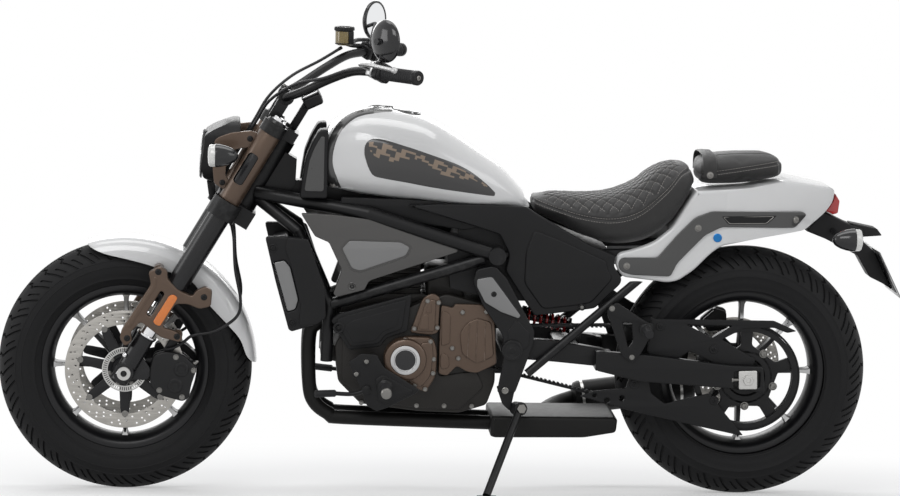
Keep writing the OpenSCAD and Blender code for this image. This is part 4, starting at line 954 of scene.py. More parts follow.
# filler cap on the tank's top, with a small button and a ring of bolts
bm = turned([(0, 44), (2, 44), (3.5, 42), (3.5, 36), (6, 35), (7.5, 30), (8, 12), (8, 0.5)], (92, 0, 975),
            (-0.12, 0, 1), 64)
merge(bm, turned([(0, 9), (1.5, 9), (1.5, 4), (0.5, 3.5), (0.5, 0.2)], (80, 0, 983.4), (-0.12, 0, 1), 24),
      index=1)
for k in range(6):
    a = 2 * math.pi * k / 6
    merge(bm, bolt((92 + 39 * math.cos(a), 39 * math.sin(a), 978.5 + 0.12 * 39 * math.cos(a)),
                   (-0.12, 0, 1), 2.6, 2),
          index=1)
add("filler_cap", bm, UPRIGHT, "chassis", [GLOSS, CHROME], slot="satin_black")

# ---------- Mudguards and tail ----------


def cut(bm, cutter, how="INTERSECT"):
    """Boolean of two closed bmeshes."""
    objs = []
    for b in (bm, cutter):
        bmesh.ops.remove_doubles(b, verts=b.verts, dist=0.001)
        bmesh.ops.recalc_face_normals(b, faces=b.faces)
        mesh = bpy.data.meshes.new("cut")
        b.to_mesh(mesh)
        b.free()
        o = bpy.data.objects.new("cut", mesh)
        bpy.context.scene.collection.objects.link(o)
        objs.append(o)
    m = objs[0].modifiers.new("cut", "BOOLEAN")
    m.operation = how
    m.solver = "EXACT"
    m.object = objs[1]
    apply_modifiers(objs[0])
    out = bmesh.new()
    out.from_mesh(objs[0].data)
    for f in out.faces:
        f.material_index = 0
    for o in objs:
        mesh = o.data
        bpy.data.objects.remove(o)
        bpy.data.meshes.remove(mesh)
    return out


def curl(r, half):
    """Half-round cross-section of a mudguard: (distance from the middle, radius)."""
    pts = [(-half, r - 92), (-half, r - 40), (-half + 3, r - 26), (-half + 12, r - 12),
           (-half + 28, r - 3.5), (-half + 50, r - 0.6),
           (0, r)]
    pts += [(-y, rr) for y, rr in reversed(pts[:-1])]
    return [(p.x, p.y) for p in smooth_points([(y, rr, 0) for y, rr in pts], 4)]


outer, inner = curl(332.8, 74.8), curl(328.4, 70.4)
bm = lathe(outer + inner[::-1], 240, closed=True)
outline = [(p.x, p.y) for p in smooth_points([(x, z, 0) for x, z in (
    (-338, 18), (-334, 40), (-331, 78), (-304, 162), (-259, 230), (-203, 274), (-155, 304), (-73, 334),
    (4, 345),
    (85, 337), (97, 327), (92, 311), (55, 294), (0, 281), (-52, 268), (-117, 247), (-168, 224),
    (-204, 174), (-261, 113),
    (-290, 78), (-306, 38), (-322, 20))], 5, closed=True)]
bm = cut(bm, blank(outline, -90, 90))
add("front_mudguard", bm, FRONT_AXLE, "steering", PEARL, replaces="front_fender", slot="pearl_white",
    bevel=1.4,
    smooth=40)


def plan(outline, z0, z1):
    """Prism with an outline seen from above."""
    bm = blank(outline, -z1, -z0)
    bm.transform(Matrix.Rotation(-math.pi / 2, 4, "X"))
    return bm


TAIL_HALF = [(-400, 112), (-720, 112), (-865, 94), (-960, 72), (-1011, 46)]


def along_line(points, x):
    """Value at x on a broken line of (x, value) points that run backwards, level beyond its ends."""
    for (a, p), (b, q) in zip(points, points[1:]):
        if b <= x <= a:
            return p + (q - p) * (a - x) / (a - b)
    return points[0 if x > points[0][0] else -1][1]


def tail_half(x):
    """Half width of the tail at x."""
    return along_line(TAIL_HALF, x)


def tapered(bm):
    """Moves each vertex in by the tail's taper at its place."""
    for v in bm.verts:
        v.co.y += sum(tail_half(v.co.x + k) for k in (-24, -12, 0, 12, 24)) / 5 - 112
    return bm


def follow_tail(bm):
    """Bends a flat side piece to the tail's taper."""
    for x, _ in TAIL_HALF[1:4]:
        for k in (-18, -9, 0, 9, 18):
            geom = bm.verts[:] + bm.edges[:] + bm.faces[:]
            bmesh.ops.bisect_plane(bm, geom=geom, plane_co=(x + k, 0, 0), plane_no=(1, 0, 0))
    return tapered(bm)


tail_side = [(-651, 799), (-773, 807), (-865, 823), (-882, 826), (-997, 806), (-1008, 797), (-1004, 771),
             (-983, 744),
             (-928, 700), (-901, 695), (-813, 681), (-711, 659), (-684, 638), (-645, 597), (-605, 569),
             (-578, 564),
             (-547, 568), (-493, 574), (-463, 577), (-444, 606), (-448, 638), (-502, 652), (-541, 668),
             (-587, 706),
             (-625, 770), (-645, 799)]
bm = slab(tail_side, 14, 5, -112, 112, chamfer=9, round_steps=4)
bm = cut(bm, plan([(-380, -112.5), (-720, -112), (-800, -105), (-865, -94), (-920, -83), (-965, -69),
                   (-995, -56), (-1009, -44), (-1011, -20),
                   (-1011, 20), (-1009, 44), (-995, 56), (-965, 69), (-920, 83), (-865, 94), (-800, 105),
                   (-720, 112),
                   (-380, 112.5)], 400, 1000))
bm = cut(bm, blank(circle(-787, 323, 342, 160), -97, 97), "DIFFERENCE")
bm = cut(bm, blank([(-640, 500), (-380, 500), (-380, 700), (-640, 700)], -98, 98), "DIFFERENCE")
add("tail_shell", bm, UPRIGHT, "chassis", PEARL, replaces="tail", slot="pearl_white", bevel=1.5, smooth=36)

trim = [(-458, 592), (-449, 609), (-457, 628), (-549, 629), (-601, 691), (-642, 733), (-683, 749),
        (-919, 748),
        (-932, 740), (-902, 706), (-710, 709), (-669, 688), (-628, 645), (-600, 615), (-584, 581),
        (-487, 584)]
bm = follow_tail(slab(trim, 9, 4, 112.2, 119, chamfer=2.5, round_steps=3))
shape = [(-709, 737), (-852, 739), (-828, 717), (-727, 716)]
merge(bm, follow_tail(slab(shape, 4, 3, 118, 120.2, chamfer=0.8)), index=1)
edge = [(p[0], 119.9, p[1]) for p in rounded([(-713, 735), (-845, 736.5), (-825, 719), (-729, 718.5)], 4,
                                             3)]
merge(bm, tapered(tube(edge, 0.9, 6, closed=True)), index=2)
for x, z in ((-472, 607), (-650, 706), (-902, 727)):
    y = 118.5 + tail_half(x) - 112
    merge(bm, bolt((x, y, z), (-0.15 if x < -800 else 0, 1, 0), 7, 4), index=2)
both("tail_side_trims", bm, UPRIGHT, "chassis", [GREY, PLASTIC, BOLT], replaces="tail_trims",
     slot="trim_grey")

# seat lock on the left
BLUE = Shade("anodised_blue", (0.02, 0.16, 0.42), 0.3, metal=0.8, bevel=0)
bm = turned([(0, 11), (2, 11), (3, 9.5), (3, 7)], (-701, 112, 681), (0, 1, 0), 32)
merge(bm, turned([(0, 8), (2.4, 8), (2.4, 2.2), (0.8, 2.0), (0.8, 0.1)], (-701, 112, 681), (0, 1, 0), 32),
      index=1)
add("seat_lock", bm, UPRIGHT, "chassis", [BLUE, CHROME], slot="chrome")

# ---------- Seats ----------


# size of a remesh voxel and the most that a point of a seat may swell
VOXEL, SWELL = 5.5, 6


def pad(bm):
    """Swells a closed skin like stuffed leather, by cloth simulation, and returns it in millimetres."""
    bmesh.ops.remove_doubles(bm, verts=bm.verts, dist=0.001)
    bmesh.ops.recalc_face_normals(bm, faces=bm.faces)
    bm.transform(Matrix.Scale(0.001, 4))
    mesh = bpy.data.meshes.new("pad")
    bm.to_mesh(mesh)
    bm.free()
    obj = bpy.data.objects.new("pad", mesh)
    bpy.context.scene.collection.objects.link(obj)
    m = obj.modifiers.new("remesh", "REMESH")
    m.mode = "VOXEL"
    m.voxel_size = VOXEL / 1000
    apply_modifiers(obj)
    rest = [v.co.copy() for v in obj.data.vertices]
    m = obj.modifiers.new("cloth", "CLOTH")
    m.settings.quality = 5
    m.settings.mass = 0.3
    m.settings.use_pressure = True
    m.settings.uniform_pressure_force = 4
    m.settings.tension_stiffness = m.settings.compression_stiffness = 25
    m.settings.effector_weights.gravity = 0
    m.point_cache.frame_start, m.point_cache.frame_end = 1, 20
    scene = bpy.context.scene
    for f in range(1, 21):
        scene.frame_set(f)
    apply_modifiers(obj)
    scene.frame_set(1)
    for v, start in zip(obj.data.vertices, rest):
        far = v.co - start
        if far.length > SWELL / 1000:
            v.co = start + far.normalized() * SWELL / 1000
    m = obj.modifiers.new("relax", "SMOOTH")
    m.factor = 0.5
    m.iterations = 6
    m = obj.modifiers.new("fine", "SUBSURF")
    m.levels = m.render_levels = 1
    apply_modifiers(obj)
    out = bmesh.new()
    out.from_mesh(obj.data)
    mesh = obj.data
    bpy.data.objects.remove(obj)
    bpy.data.meshes.remove(mesh)
    out.transform(Matrix.Scale(1000, 4))
    return out


def groove(v, away, depth, width):
    """Sinks a vertex along its normal near a line."""
    v.co -= v.normal * depth * math.exp(-(away / width) ** 2)


# length of a stitch and of the gap after it
STITCH, GAP = 4.5, 2.5


def stitches(bm, route):
    """Short threads along a route of points."""
    pts = [Vector(p) for p in route]
    far = 0.0
    start = None
    for a, b in zip(pts, pts[1:]):
        seg = (b - a).length
        d = 0.0
        while d < seg:
            inside = (far + d) % (STITCH + GAP) < STITCH
            if inside and start is None:
                start = a.lerp(b, d / seg)
            if not inside and start is not None:
                thread(bm, start, a.lerp(b, d / seg))
                start = None
            d += 1.0
        far += seg


def thread(bm, a, b):
    """A four-sided thread from a to b."""
    t = b - a
    if t.length < 0.5:
        return
    t.normalize()
    u = t.orthogonal().normalized()
    w = t.cross(u)
    rows = [[bm.verts.new(p + 0.55 * (math.cos(k) * u + math.sin(k) * w)) for k in (0.0, 1.57, 3.14, 4.71)]
            for p in (a, b)]
    grid_faces(bm, rows, closed_row=True)
    for row in rows:
        bm.faces.new(row)


def side_stitches(bm, tree, route, lift):
    """Stitches over and under a seam of (x, z) points, along both sides of a pad."""
    for side in (1, -1):
        for up in (lift, -lift):
            line = []
            for x, z in route:
                hit, normal, _, _ = tree.ray_cast(Vector((x, side * 400, z + up)), Vector((0, -side, 0)))
                if hit is not None:
                    line.append(hit + normal * 0.15)
            stitches(bm, line)


SEAT = spline([
    [-643, 86, 809, 843, 2.4], [-625, 108, 777, 863, 2.6], [-587, 122, 714, 862, 2.8],
    [-541, 131, 676, 838, 2.8],
    [-502, 135, 660, 806, 2.8], [-439, 135, 656, 780, 2.8], [-371, 121, 676, 773, 2.8],
    [-300, 96, 708, 776, 2.8],
    [-238, 66, 732, 781, 2.8]], 6)
WELT = [(-236, 762), (-300, 742), (-360, 727), (-434, 722), (-501, 741), (-567, 795), (-605, 838),
        (-632, 850)]


def welt_z(x):
    """Height of the seat's side seam at x."""
    return along_line(WELT, x)


# distance between the lines of the saddle's diamond quilting
PITCH = 30.0

bm = pad(skin(SEAT, 64, cap=10, grow=-3))
bm.normal_update()
for v in list(bm.verts):
    x, y, z = v.co
    over = z - welt_z(x)
    groove(v, over if abs(y) > 20 else 99, 2.4, 3.2)
    if over > 9 and v.normal.z > 0.15:
        fade = min(1, (over - 9) / 8) * min(1, max(0, (-262 - x) / 8)) * min(1, max(0, (x + 606) / 10))
        for d in ((x + y) / PITCH, (x - y) / PITCH):
            groove(v, abs(d - round(d)) * PITCH / math.sqrt(2), 2.3 * fade, 2.6)
bm.normal_update()
tree = BVHTree.FromBMesh(bm)
threads = bmesh.new()
for sign in (1, -1):
    for k in range(-28, -3):
        line = []
        for i in range(-34, 35):
            y = i * 4.0
            x = k * PITCH - sign * y
            if not -604 < x < -264:
                continue
            hit, normal, _, _ = tree.ray_cast(Vector((x, y, 1000)), Vector((0, 0, -1)))
            if hit is not None and hit.z - welt_z(x) > 11 and normal.z > 0.2:
                line.append(hit + normal * 0.15)
            elif len(line) > 2:
                stitches(threads, line)
                line = []
        if len(line) > 2:
            stitches(threads, line)
side_stitches(threads, tree, sampled(WELT, 90), 5)
merge(bm, threads, index=1)
seat = add("rider_saddle", bm, UPRIGHT, "chassis", [LEATHER, THREAD], replaces="rider_seat",
           slot="seat_leather",
           smooth=80)


def pillion_seam(x):
    """Height of the passenger seat's side seam at x."""
    return 843 + (x + 699) * -0.16


PILLION = spline([
    [-870, 68, 829, 877, 3], [-850, 84, 826, 886, 3], [-760, 91, 813, 887, 3], [-690, 91, 809, 883, 3],
    [-658, 80, 807, 875, 3]], 6)
bm = pad(skin(PILLION, 64, cap=10, grow=-3))
bm.normal_update()
for v in list(bm.verts):
    x, y, z = v.co
    groove(v, z - pillion_seam(x), 2.4, 3.0)
    for y0 in (-34, 34):
        groove(v, y - y0 if v.normal.z > 0.3 and -850 < x < -700 else 99, 2.2, 2.6)
    groove(v, x + 702 if v.normal.z > -0.2 else 99, 1.6, 2.4)
bm.normal_update()
tree = BVHTree.FromBMesh(bm)
threads = bmesh.new()
side_stitches(threads, tree, [(x, pillion_seam(x)) for x in (-860 + i * 3.4 for i in range(60))], 4.5)
merge(bm, threads, index=1)
pillion = add("pillion_pad", bm, UPRIGHT, "chassis", [LEATHER, THREAD], replaces="passenger_seat",
              slot="seat_leather", smooth=80)

# strap over the front of the passenger seat
bm = bmesh.new()
rows = []
for k in range(49):
    a = math.pi * (-0.06 + 1.12 * k / 48)
    w, mid, half, e = 93.6, 846, 40.5, 3.0
    rows.append([bm.verts.new((x, (w + o) * power(math.cos(a), 2 / e),
                               mid + (half + o) * power(math.sin(a), 2 / e)))
                 for x, o in ((-696, 0.4), (-694, 2.6), (-672, 3.4), (-664, 2.6), (-662, 0.4))])
grid_faces(bm, rows, closed_row=True)
bm.faces.new(rows[0])
bm.faces.new(rows[-1])
for side in (1, -1):
    merge(bm, bolt((-679, side * 96.5, 838), (0, side, 0), 7, 3), index=1)
add("pillion_strap", bm, UPRIGHT, "chassis", [LEATHER, BOLT], slot="seat_leather", smooth=50)

# ---------- Fork ----------

LEG_Y = 105


def box(x0, x1, y0, y1, z0, z1, chamfer=2.0, steps=2):
    """Block with rounded edges."""
    bm = bmesh.new()
    bmesh.ops.create_cube(bm, size=1)
    bm.transform(at((x0 + x1) / 2, (y0 + y1) / 2, (z0 + z1) / 2)
                 @ Matrix.Diagonal((x1 - x0, y1 - y0, z1 - z0, 1)))
    bmesh.ops.bevel(bm, geom=bm.edges[:], offset=chamfer, segments=steps, profile=0.5, affect="EDGES")
    return bm


def on_leg(profile, sides=48):
    """Surface of revolution about the left fork leg."""
    bm = lathe(profile, sides, "Z")
    bm.transform(at(0, LEG_Y, 0))
    return bm


def hexed(base, direction, r, h):
    """Hexagon head with a washer."""
    bm = lathe([(0, r * 1.2), (1.5, r * 1.2), (1.5, r), (1.5, r)], 24, "Z")
    merge(bm, lathe([(1.5, r), (h * 0.85, r), (h, r * 0.86), (h, r * 0.3), (h - 0.6, 0.2)], 6, "Z"))
    return aimed(bm, base, direction)


bm = bmesh.new()
merge(bm, on_leg([(-30, 1), (-30, 20), (-26, 24), (102, 24), (104, 26), (110, 26), (112, 25), (112, 20.5),
                  (112, 1)]))
merge(bm, on_leg([(107, 26.6), (108, 27.2), (111, 27.2), (112.5, 26), (112.5, 20)]), index=1)
merge(bm, on_leg([(112, 19.8), (216, 19.8)]), index=1)
merge(bm, on_leg([(216, 19), (216, 26.5), (218, 28), (450, 28), (506, 28), (506, 25), (736, 25),
                  (742, 22), (742, 1)]))
merge(bm, lathe([(LEG_Y - 23, 12.1), (LEG_Y - 23, 24), (LEG_Y - 20, 26), (LEG_Y + 19, 26),
                 (LEG_Y + 22, 24), (LEG_Y + 22, 12.1)], 48))
merge(bm, slab([(-8, -20), (-60, 8), (-66, 34), (-8, 58)], 8, 4, 86, 98, chamfer=2.5))
for z in (-8, 40):
    merge(bm, bolt((22 if z > 0 else 16, LEG_Y + 18, z), (0.6, 1, 0), 4.5, 4), index=1)
merge(bm, hexed((0, LEG_Y, 742), (0, 0, 1), 13, 9), index=1)
both("fork_tubes", bm, FORK, "steering", [FORKBLACK, CHROME], replaces="fork_legs", slot="satin_black")

bracket = [(80, 252), (62, 280), (41, 280), (30, 262), (-6, 252), (-45, 256), (-45, 272), (-58, 294),
           (-79, 296), (-98, 259),
           (-77, 238), (-46, 234), (-19, 218), (-21, 151), (-58, 160), (-77, 158), (-80, 141), (-32, 127),
           (32, 135),
           (39, 98), (24, 82), (33, 60), (55, 72), (62, 93), (61, 109), (58, 228), (68, 240)]
slot = [(29, 229), (17, 227), (16, 159), (30, 158)]
bm = slab(bracket, 8, 4, 112, 137, [rounded(slot, 6, 4)], chamfer=3.5, round_steps=3)
# raised rib along the front edge
merge(bm, slab([(56, 108), (53, 226), (62, 250), (54, 252), (44, 230), (46, 108)], 4, 3, 134, 138,
               chamfer=1.5))
for x, z in ((59, 266), (-71, 270)):
    merge(bm, lathe([(75.3, 3), (75.3, 12), (77, 13), (113, 13)], 32, "Y"), at(x, 0, z))
    merge(bm, bolt((x, 136.5, z), (0, 1, 0), 6.5, 4), index=1)
merge(bm, lathe([(92.3, 3), (92.3, 12), (94, 13), (113, 13)], 32, "Y"), at(-65, 0, 150))
for x, z in ((-65, 150), (39, 82)):
    merge(bm, bolt((x, 136.5, z), (0, 1, 0), 6.5, 4), index=1)
merge(bm, slab([(-2, 237), (-16, 236), (-15, 150), (-1, 149), (6, 153), (5, 230)], 7, 5, 136.6, 141,
               chamfer=1.4),
      index=2)
# covers between the clamps, with a long slot that shows the tube
sleeve = on_leg([(506.4, 28), (508, 28.4), (702, 28.4), (703.6, 28), (703.6, 25.1), (506.4, 25.1),
                 (506.4, 28)], 64)
sleeve = cut(sleeve, blank(rounded([(-6, 556), (21, 556), (21, 642), (-6, 642)], 10, 5), LEG_Y, LEG_Y + 40),
           "DIFFERENCE")
merge(bm, sleeve)
arm = [(109, 618), (104, 630), (84, 655), (43, 686), (20, 690), (20, 651), (42, 635), (57, 621),
       (51, 577), (39, 554), (15, 550),
       (15, 523), (54, 524), (77, 555)]
merge(bm, slab(arm, 7, 4, 96, 106, chamfer=2.2, round_steps=3))
for x, z in ((36, 667), (38, 537)):
    merge(bm, bolt((x, 105.5, z), (0, 1, 0), 6, 4), index=1)
both("fork_brackets", bm, FORK, "steering", [BRONZE, BLACK, AMBER], replaces="fork_covers", slot="bronze",
     smooth=35)

CALIPER = [(-40, 74), (-66, 100), (-105, 113), (-152, 102), (-162, 56), (-174, 25), (-166, 9), (-109, -7),
           (-74, 3), (-53, 34)]
bm = bmesh.new()
merge(bm, slab(CALIPER, 12, 4, 81, 104, chamfer=5, round_steps=3))
merge(bm, slab(CALIPER, 12, 4, 57.5, 69, chamfer=3, round_steps=2))
bridge = slab([(-172, 24), (-161, 58), (-150, 104), (-126, 108), (-146, 56), (-160, 14)], 5, 3, 62, 100,
              chamfer=3)
merge(bm, bridge)
for x, z, r in ((-120, 78, 19), (-128, 34, 19)):
    merge(bm, turned([(0, r), (3, r), (5, r - 2.5), (5, r - 8), (3.6, r - 9), (3.6, 0.5)], (x, 102, z),
                     (0, 1, 0), 40))
for x, z in ((-148, 92), (-92, 98), (-158, 18), (-100, 4)):
    merge(bm, hexed((x, 103.5, z), (0, 1, 0), 6, 5), index=1)
merge(bm, turned([(0, 5), (9, 5), (9, 3.4), (14, 3)], (-140, 92, 104), (-0.5, 0, 1), 16), index=1)
merge(bm, slab([(-56, 92), (-80, 104), (-77, 157), (-56, 161)], 5, 3, 83, 91.5, chamfer=1.5))
both("brake_calipers", bm, FORK, "steering", [ENGINE, BOLT], replaces="front_calipers",
     slot="caliper_black")

# ---------- Headlight and signals ----------

shell = slab([(503, 921), (507, 953), (520, 953), (567, 933), (592, 918), (600, 852), (597, 809),
              (570, 794)], 8, 4, -95, 95, chamfer=7, round_steps=4)
front = [(-60, 798), (60, 798), (86, 830), (94, 880), (88, 925), (70, 948), (30, 956), (-30, 956),
         (-70, 948), (-88, 925), (-94, 880),
         (-86, 830)]
cutter = blank(rounded(front, 18, 5), -700, -400)
cutter.transform(Matrix.Rotation(math.pi / 2, 4, "Z"))
bm = cut(shell, cutter)
# bezel, daylight ring, lens and two projector eyes
face = at(596, 0, 862) @ Matrix.Rotation(math.radians(-4), 4, "Y") @ Matrix.Rotation(math.pi / 2, 4, "Y")
for profile, index, sides in (
        ([(0, 62), (3, 62), (6, 58), (6, 54), (3, 53)], 0, 64),
        ([(1, 53), (4.5, 52), (4.5, 46), (2, 45)], 1, 64),
        ([(2, 45), (1.5, 30), (1.5, 0.5)], 3, 64)):
    part = lathe(profile, sides, "Z")
    merge(bm, part, face, index)
for y in (-21, 21):
    eye_part = lathe([(1.5, 17), (4, 17), (5, 15), (3, 13), (5.5, 8), (6.4, 0.3)], 40, "Z")
    merge(bm, eye_part, face @ at(0, y, 0), 2)
lens = lathe([(3, 53.5), (7, 50), (8.6, 36), (9.6, 18), (10, 0.3)], 64, "Z")
merge(bm, lens, face, 4)
for side in (1, -1):
    merge(bm, turned([(0, 9), (10, 9)], (567.5, side * 94.8, 893), (0, side, 0), 24))
add("headlamp", bm, UPRIGHT, "steering", [PLASTIC, MILKY, CHROME, GLOSS, GLASS], replaces="headlight",
    slot="black_plastic",
    smooth=38)
bm = slab([(36, 470), (70, 512), (58, 513), (52, 522), (29, 490)], 4, 3, -14, 14, chamfer=1.5)
add("headlamp_stay", bm, FORK, "steering", BLACK, slot="satin_black")


def signal(bm, matrix):
    """Bullet-shaped signal with a pale lens, facing +X."""
    body = lathe([(-38, 0.5), (-37, 5), (-34, 11), (-28, 16), (-18, 21.5), (-4, 26), (10, 28.6), (18, 29),
                  (19, 28), (19, 27.4)], 48, "X")
    merge(bm, body, matrix, 0)
    lens = lathe([(17, 27.4), (30, 27.2), (33.5, 25), (35.6, 19), (36.6, 10), (36.9, 0.5)], 48, "X")
    merge(bm, lens, matrix, 1)


bm = bmesh.new()
signal(bm, at(77, 205, 606) @ Matrix.Rotation(RAKE, 4, "Y"))
merge(bm, turned([(0, 10), (3, 10), (4, 8), (72, 7), (84, 8)], (82, 106.5, 602), (0, 1, 0), 24))
both("front_indicators", bm, FORK, "steering", [GLOSS, MILKY], replaces="front_signals",
     slot="black_plastic")

# ---------- Engine ----------


def boss_bolt(bm, x, z, y0, y1, r):
    """Bolt on a small boss of a cover's rim."""
    merge(bm, lathe([(y0, 0.5), (y0, r), (y1 - 1, r), (y1, r - 1), (y1, 0.5)], 24), at(x, 0, z), 0)
    merge(bm, hexed((x, y1, z), (0, 1, 0), 4.6, 4.5), index=1)


CAM = [(71, 430), (43, 512), (33, 523), (14, 531), (-3, 520), (0, 430), (20, 424)]
CRANK = [(130, 369), (116, 399), (82, 422), (12, 420), (2, 385), (4, 320), (29, 279), (94, 305)]
bm = bmesh.new()
merge(bm, slab(CAM, 9, 5, 104.4, 118, chamfer=2.5))
merge(bm, slab([(56, 434), (35, 503), (27, 512), (15, 517), (7, 511), (9, 434)], 7, 5, 117, 124, chamfer=3))
merge(bm, slab([(50, 440), (40, 476), (26, 478), (24, 440)], 4, 3, 123.5, 126, chamfer=1.2))
merge(bm, slab([(33, 482), (28, 500), (20, 506), (18, 482)], 4, 3, 123.5, 126, chamfer=1.2))
for x, z in ((29, 512), (1, 508), (3, 444), (61, 441)):
    boss_bolt(bm, x, z, 110, 123, 6.8)
merge(bm, slab(CRANK, 16, 6, 104.4, 132, chamfer=6, round_steps=4))
merge(bm, slab([(74, 310), (42, 292), (18, 322), (12, 376), (16, 410), (44, 408)], 10, 5, 130, 137.5,
               chamfer=4, round_steps=3))
for x, z in ((11, 366), (12, 330), (31, 289), (58, 297), (86, 309), (111, 392), (84, 414), (20, 411)):
    boss_bolt(bm, x, z, 120, 136, 7)
drum = [(104.4, 54), (140, 54), (145, 52), (148, 47), (148, 39), (146.5, 37.6), (145, 36), (145, 0.5)]
merge(bm, lathe(drum, 80), at(83, 0, 364))
merge(bm, lathe([(145, 37.2), (147.6, 36.8), (148, 35.6), (148, 29), (146.8, 28), (145.8, 27.6)], 80),
      at(83, 0, 364), 3)
merge(bm, lathe([(145.6, 27.8), (146.4, 20), (146.8, 0.4)], 80), at(83, 0, 364), 2)
add("left_engine_covers", bm, UPRIGHT, "chassis", [BRONZE, BOLT, GLOSS, EDGE], replaces="engine_covers",
    slot="bronze",
    smooth=35)

bm = bmesh.new()
merge(bm, lathe([(104.4, 78), (130, 78), (137, 74), (139, 68), (139, 60), (136, 57), (136, 30),
                 (139.5, 26), (139.5, 0.5)], 96),
      at(40, 0, 350))
for i in range(10):
    a = 2 * math.pi * i / 10 + 0.2
    boss_bolt(bm, 40 + 71 * math.cos(a), 350 + 71 * math.sin(a), 130, 140, 6.5)
merge(bm, slab([(20, 424), (0, 520), (30, 526), (70, 440)], 8, 4, 104.4, 123.5, chamfer=3))
merge(bm, slab([(100, 296), (164, 300), (164, 345), (158, 376), (100, 392)], 12, 5, 104.4, 133, chamfer=5,
               round_steps=3))
add("right_engine_covers", flipped(bm), UPRIGHT, "chassis", [BRONZE, BOLT], slot="bronze", smooth=35)

HEAD = [(271, 461), (251, 476), (69, 528), (78, 433), (131, 415), (145, 394), (225, 384), (245, 416)]
bm = bmesh.new()
merge(bm, slab(HEAD, 7, 4, 104.6, 121, chamfer=2.5))
merge(bm, slab([(258, 460), (246, 468), (82, 516), (92, 440), (134, 424), (150, 402), (220, 393),
                (236, 420)], 8, 4, 120, 125.6, chamfer=2.2, round_steps=3))
merge(bm, slab([(236, 446), (214, 460), (97, 494), (104, 448), (140, 433), (158, 410), (214, 402)], 6, 4,
               125, 126, chamfer=0.4))
merge(bm, lathe([(119, 15), (127, 14), (128, 12), (127, 9), (122, 8.5), (122, 0.5)], 36), at(251, 0, 441))
merge(bm, hexed((251, 121.8, 441), (0, 1, 0), 5, 3))
both("upper_engine_covers", bm, UPRIGHT, "chassis", [PLASTIC], replaces="head_covers", slot="satin_black")

PULLEY_COVER = [(-6, 501), (-36, 494), (-41, 504), (-110, 503), (-141, 473), (-150, 352), (-100, 328),
                (-75, 331), (-49, 346),
                (-25, 320), (-3, 325), (-3, 396)]
bm = bmesh.new()
merge(bm, slab(PULLEY_COVER, 7, 4, 104.6, 118.5, chamfer=2.4))
merge(bm, slab([(-54, 430), (-70, 456), (-98, 470), (-134, 460), (-142, 372), (-98, 352), (-60, 378)], 10,
               4, 117.5, 124.2, chamfer=3.4, round_steps=3))
merge(bm, slab([(-8, 488), (-22, 484), (-30, 476), (-30, 404), (-8, 396)], 6, 4, 117.5, 122, chamfer=2))
merge(bm, slab([(-14, 380), (-28, 370), (-30, 342), (-12, 336), (-6, 346), (-6, 372)], 8, 4, 117.5, 121,
               chamfer=2))
for x, z in ((-60, 484), (-52, 366), (-120, 486), (-36, 392)):
    boss_bolt(bm, x, z, 112, 121.5, 7)
for a, b in (((-78, 456), (-74, 366)), ((-98, 462), (-96, 360)), ((-118, 458), (-118, 362))):
    merge(bm, tube([(a[0], 124, a[1]), (b[0], 124, b[1])], 1.6, 8))
add("belt_pulley_cover", bm, UPRIGHT, "chassis", [BRONZE, BOLT], slot="bronze", smooth=35)

# ---------- Radiator ----------

bm = slab([(380, 650), (417, 643), (366, 448), (330, 455)], 6, 3, -121, 121, chamfer=2)
# fins and tubes between the core's lower and upper end in side view
LOW_END, TOP_END = Vector((366, 446)), Vector((418, 645))
core_lean = math.atan2(*(TOP_END - LOW_END))
core = bmesh.new()
for i in range(46):
    x, z = LOW_END.lerp(TOP_END, 0.06 + 0.88 * (i + 0.5) / 46)
    merge(core, box(-5, 2.2, -112, 112, -0.5, 0.5, 0.2, 1), at(x + 1.5, 0, z) @ Matrix.Rotation(core_lean,
            4, "Y"), 1)
for i in range(19):
    y = -108 + 12 * i
    merge(core, tube([(368.5, y, 455), (418, y, 640)], 2.2, 6), index=1)
merge(bm, core, index=1)
for z, x in ((632, 352), (492, 308)):
    half = 77 if z > 600 else 87
    merge(bm, box(x - 24, x + 30, half - 6, half + 6, z - 7, z + 7, 1.5))
    merge(bm, box(x - 24, x + 30, -half - 6, -half + 6, z - 7, z + 7, 1.5))
merge(bm, turned([(0, 20), (9, 20), (11, 17), (11, 0.5)], (400, 70, 652), (0.1, 0, 1), 32))
add("cooler", bm, UPRIGHT, "chassis", [PLASTIC, FIN], replaces="radiator", slot="satin_black")

SHROUD = [(439, 672), (383, 672), (339, 668), (323, 634), (287, 539), (284, 469), (310, 451), (369, 433),
          (377, 438), (411, 558)]
INSERT = [(416, 607), (390, 613), (375, 595), (354, 515), (361, 490), (380, 484)]


def grown(outline, d):
    """Outline moved outwards by d, for outlines that turn either way."""
    area = sum(a[0] * b[1] - b[0] * a[1] for a, b in zip(outline, outline[1:] + outline[:1]))
    sign = 1 if area > 0 else -1
    out = []
    for i, p in enumerate(outline):
        p = Vector(p)
        u = (p - Vector(outline[i - 1])).normalized()
        v = (Vector(outline[(i + 1) % len(outline)]) - p).normalized()
        nu, nv = Vector((u.y, -u.x)) * sign, Vector((v.y, -v.x)) * sign
        mid = (nu + nv).normalized()
        out.append(tuple(p + mid * d / max(0.4, mid.dot(nu))))
    return out


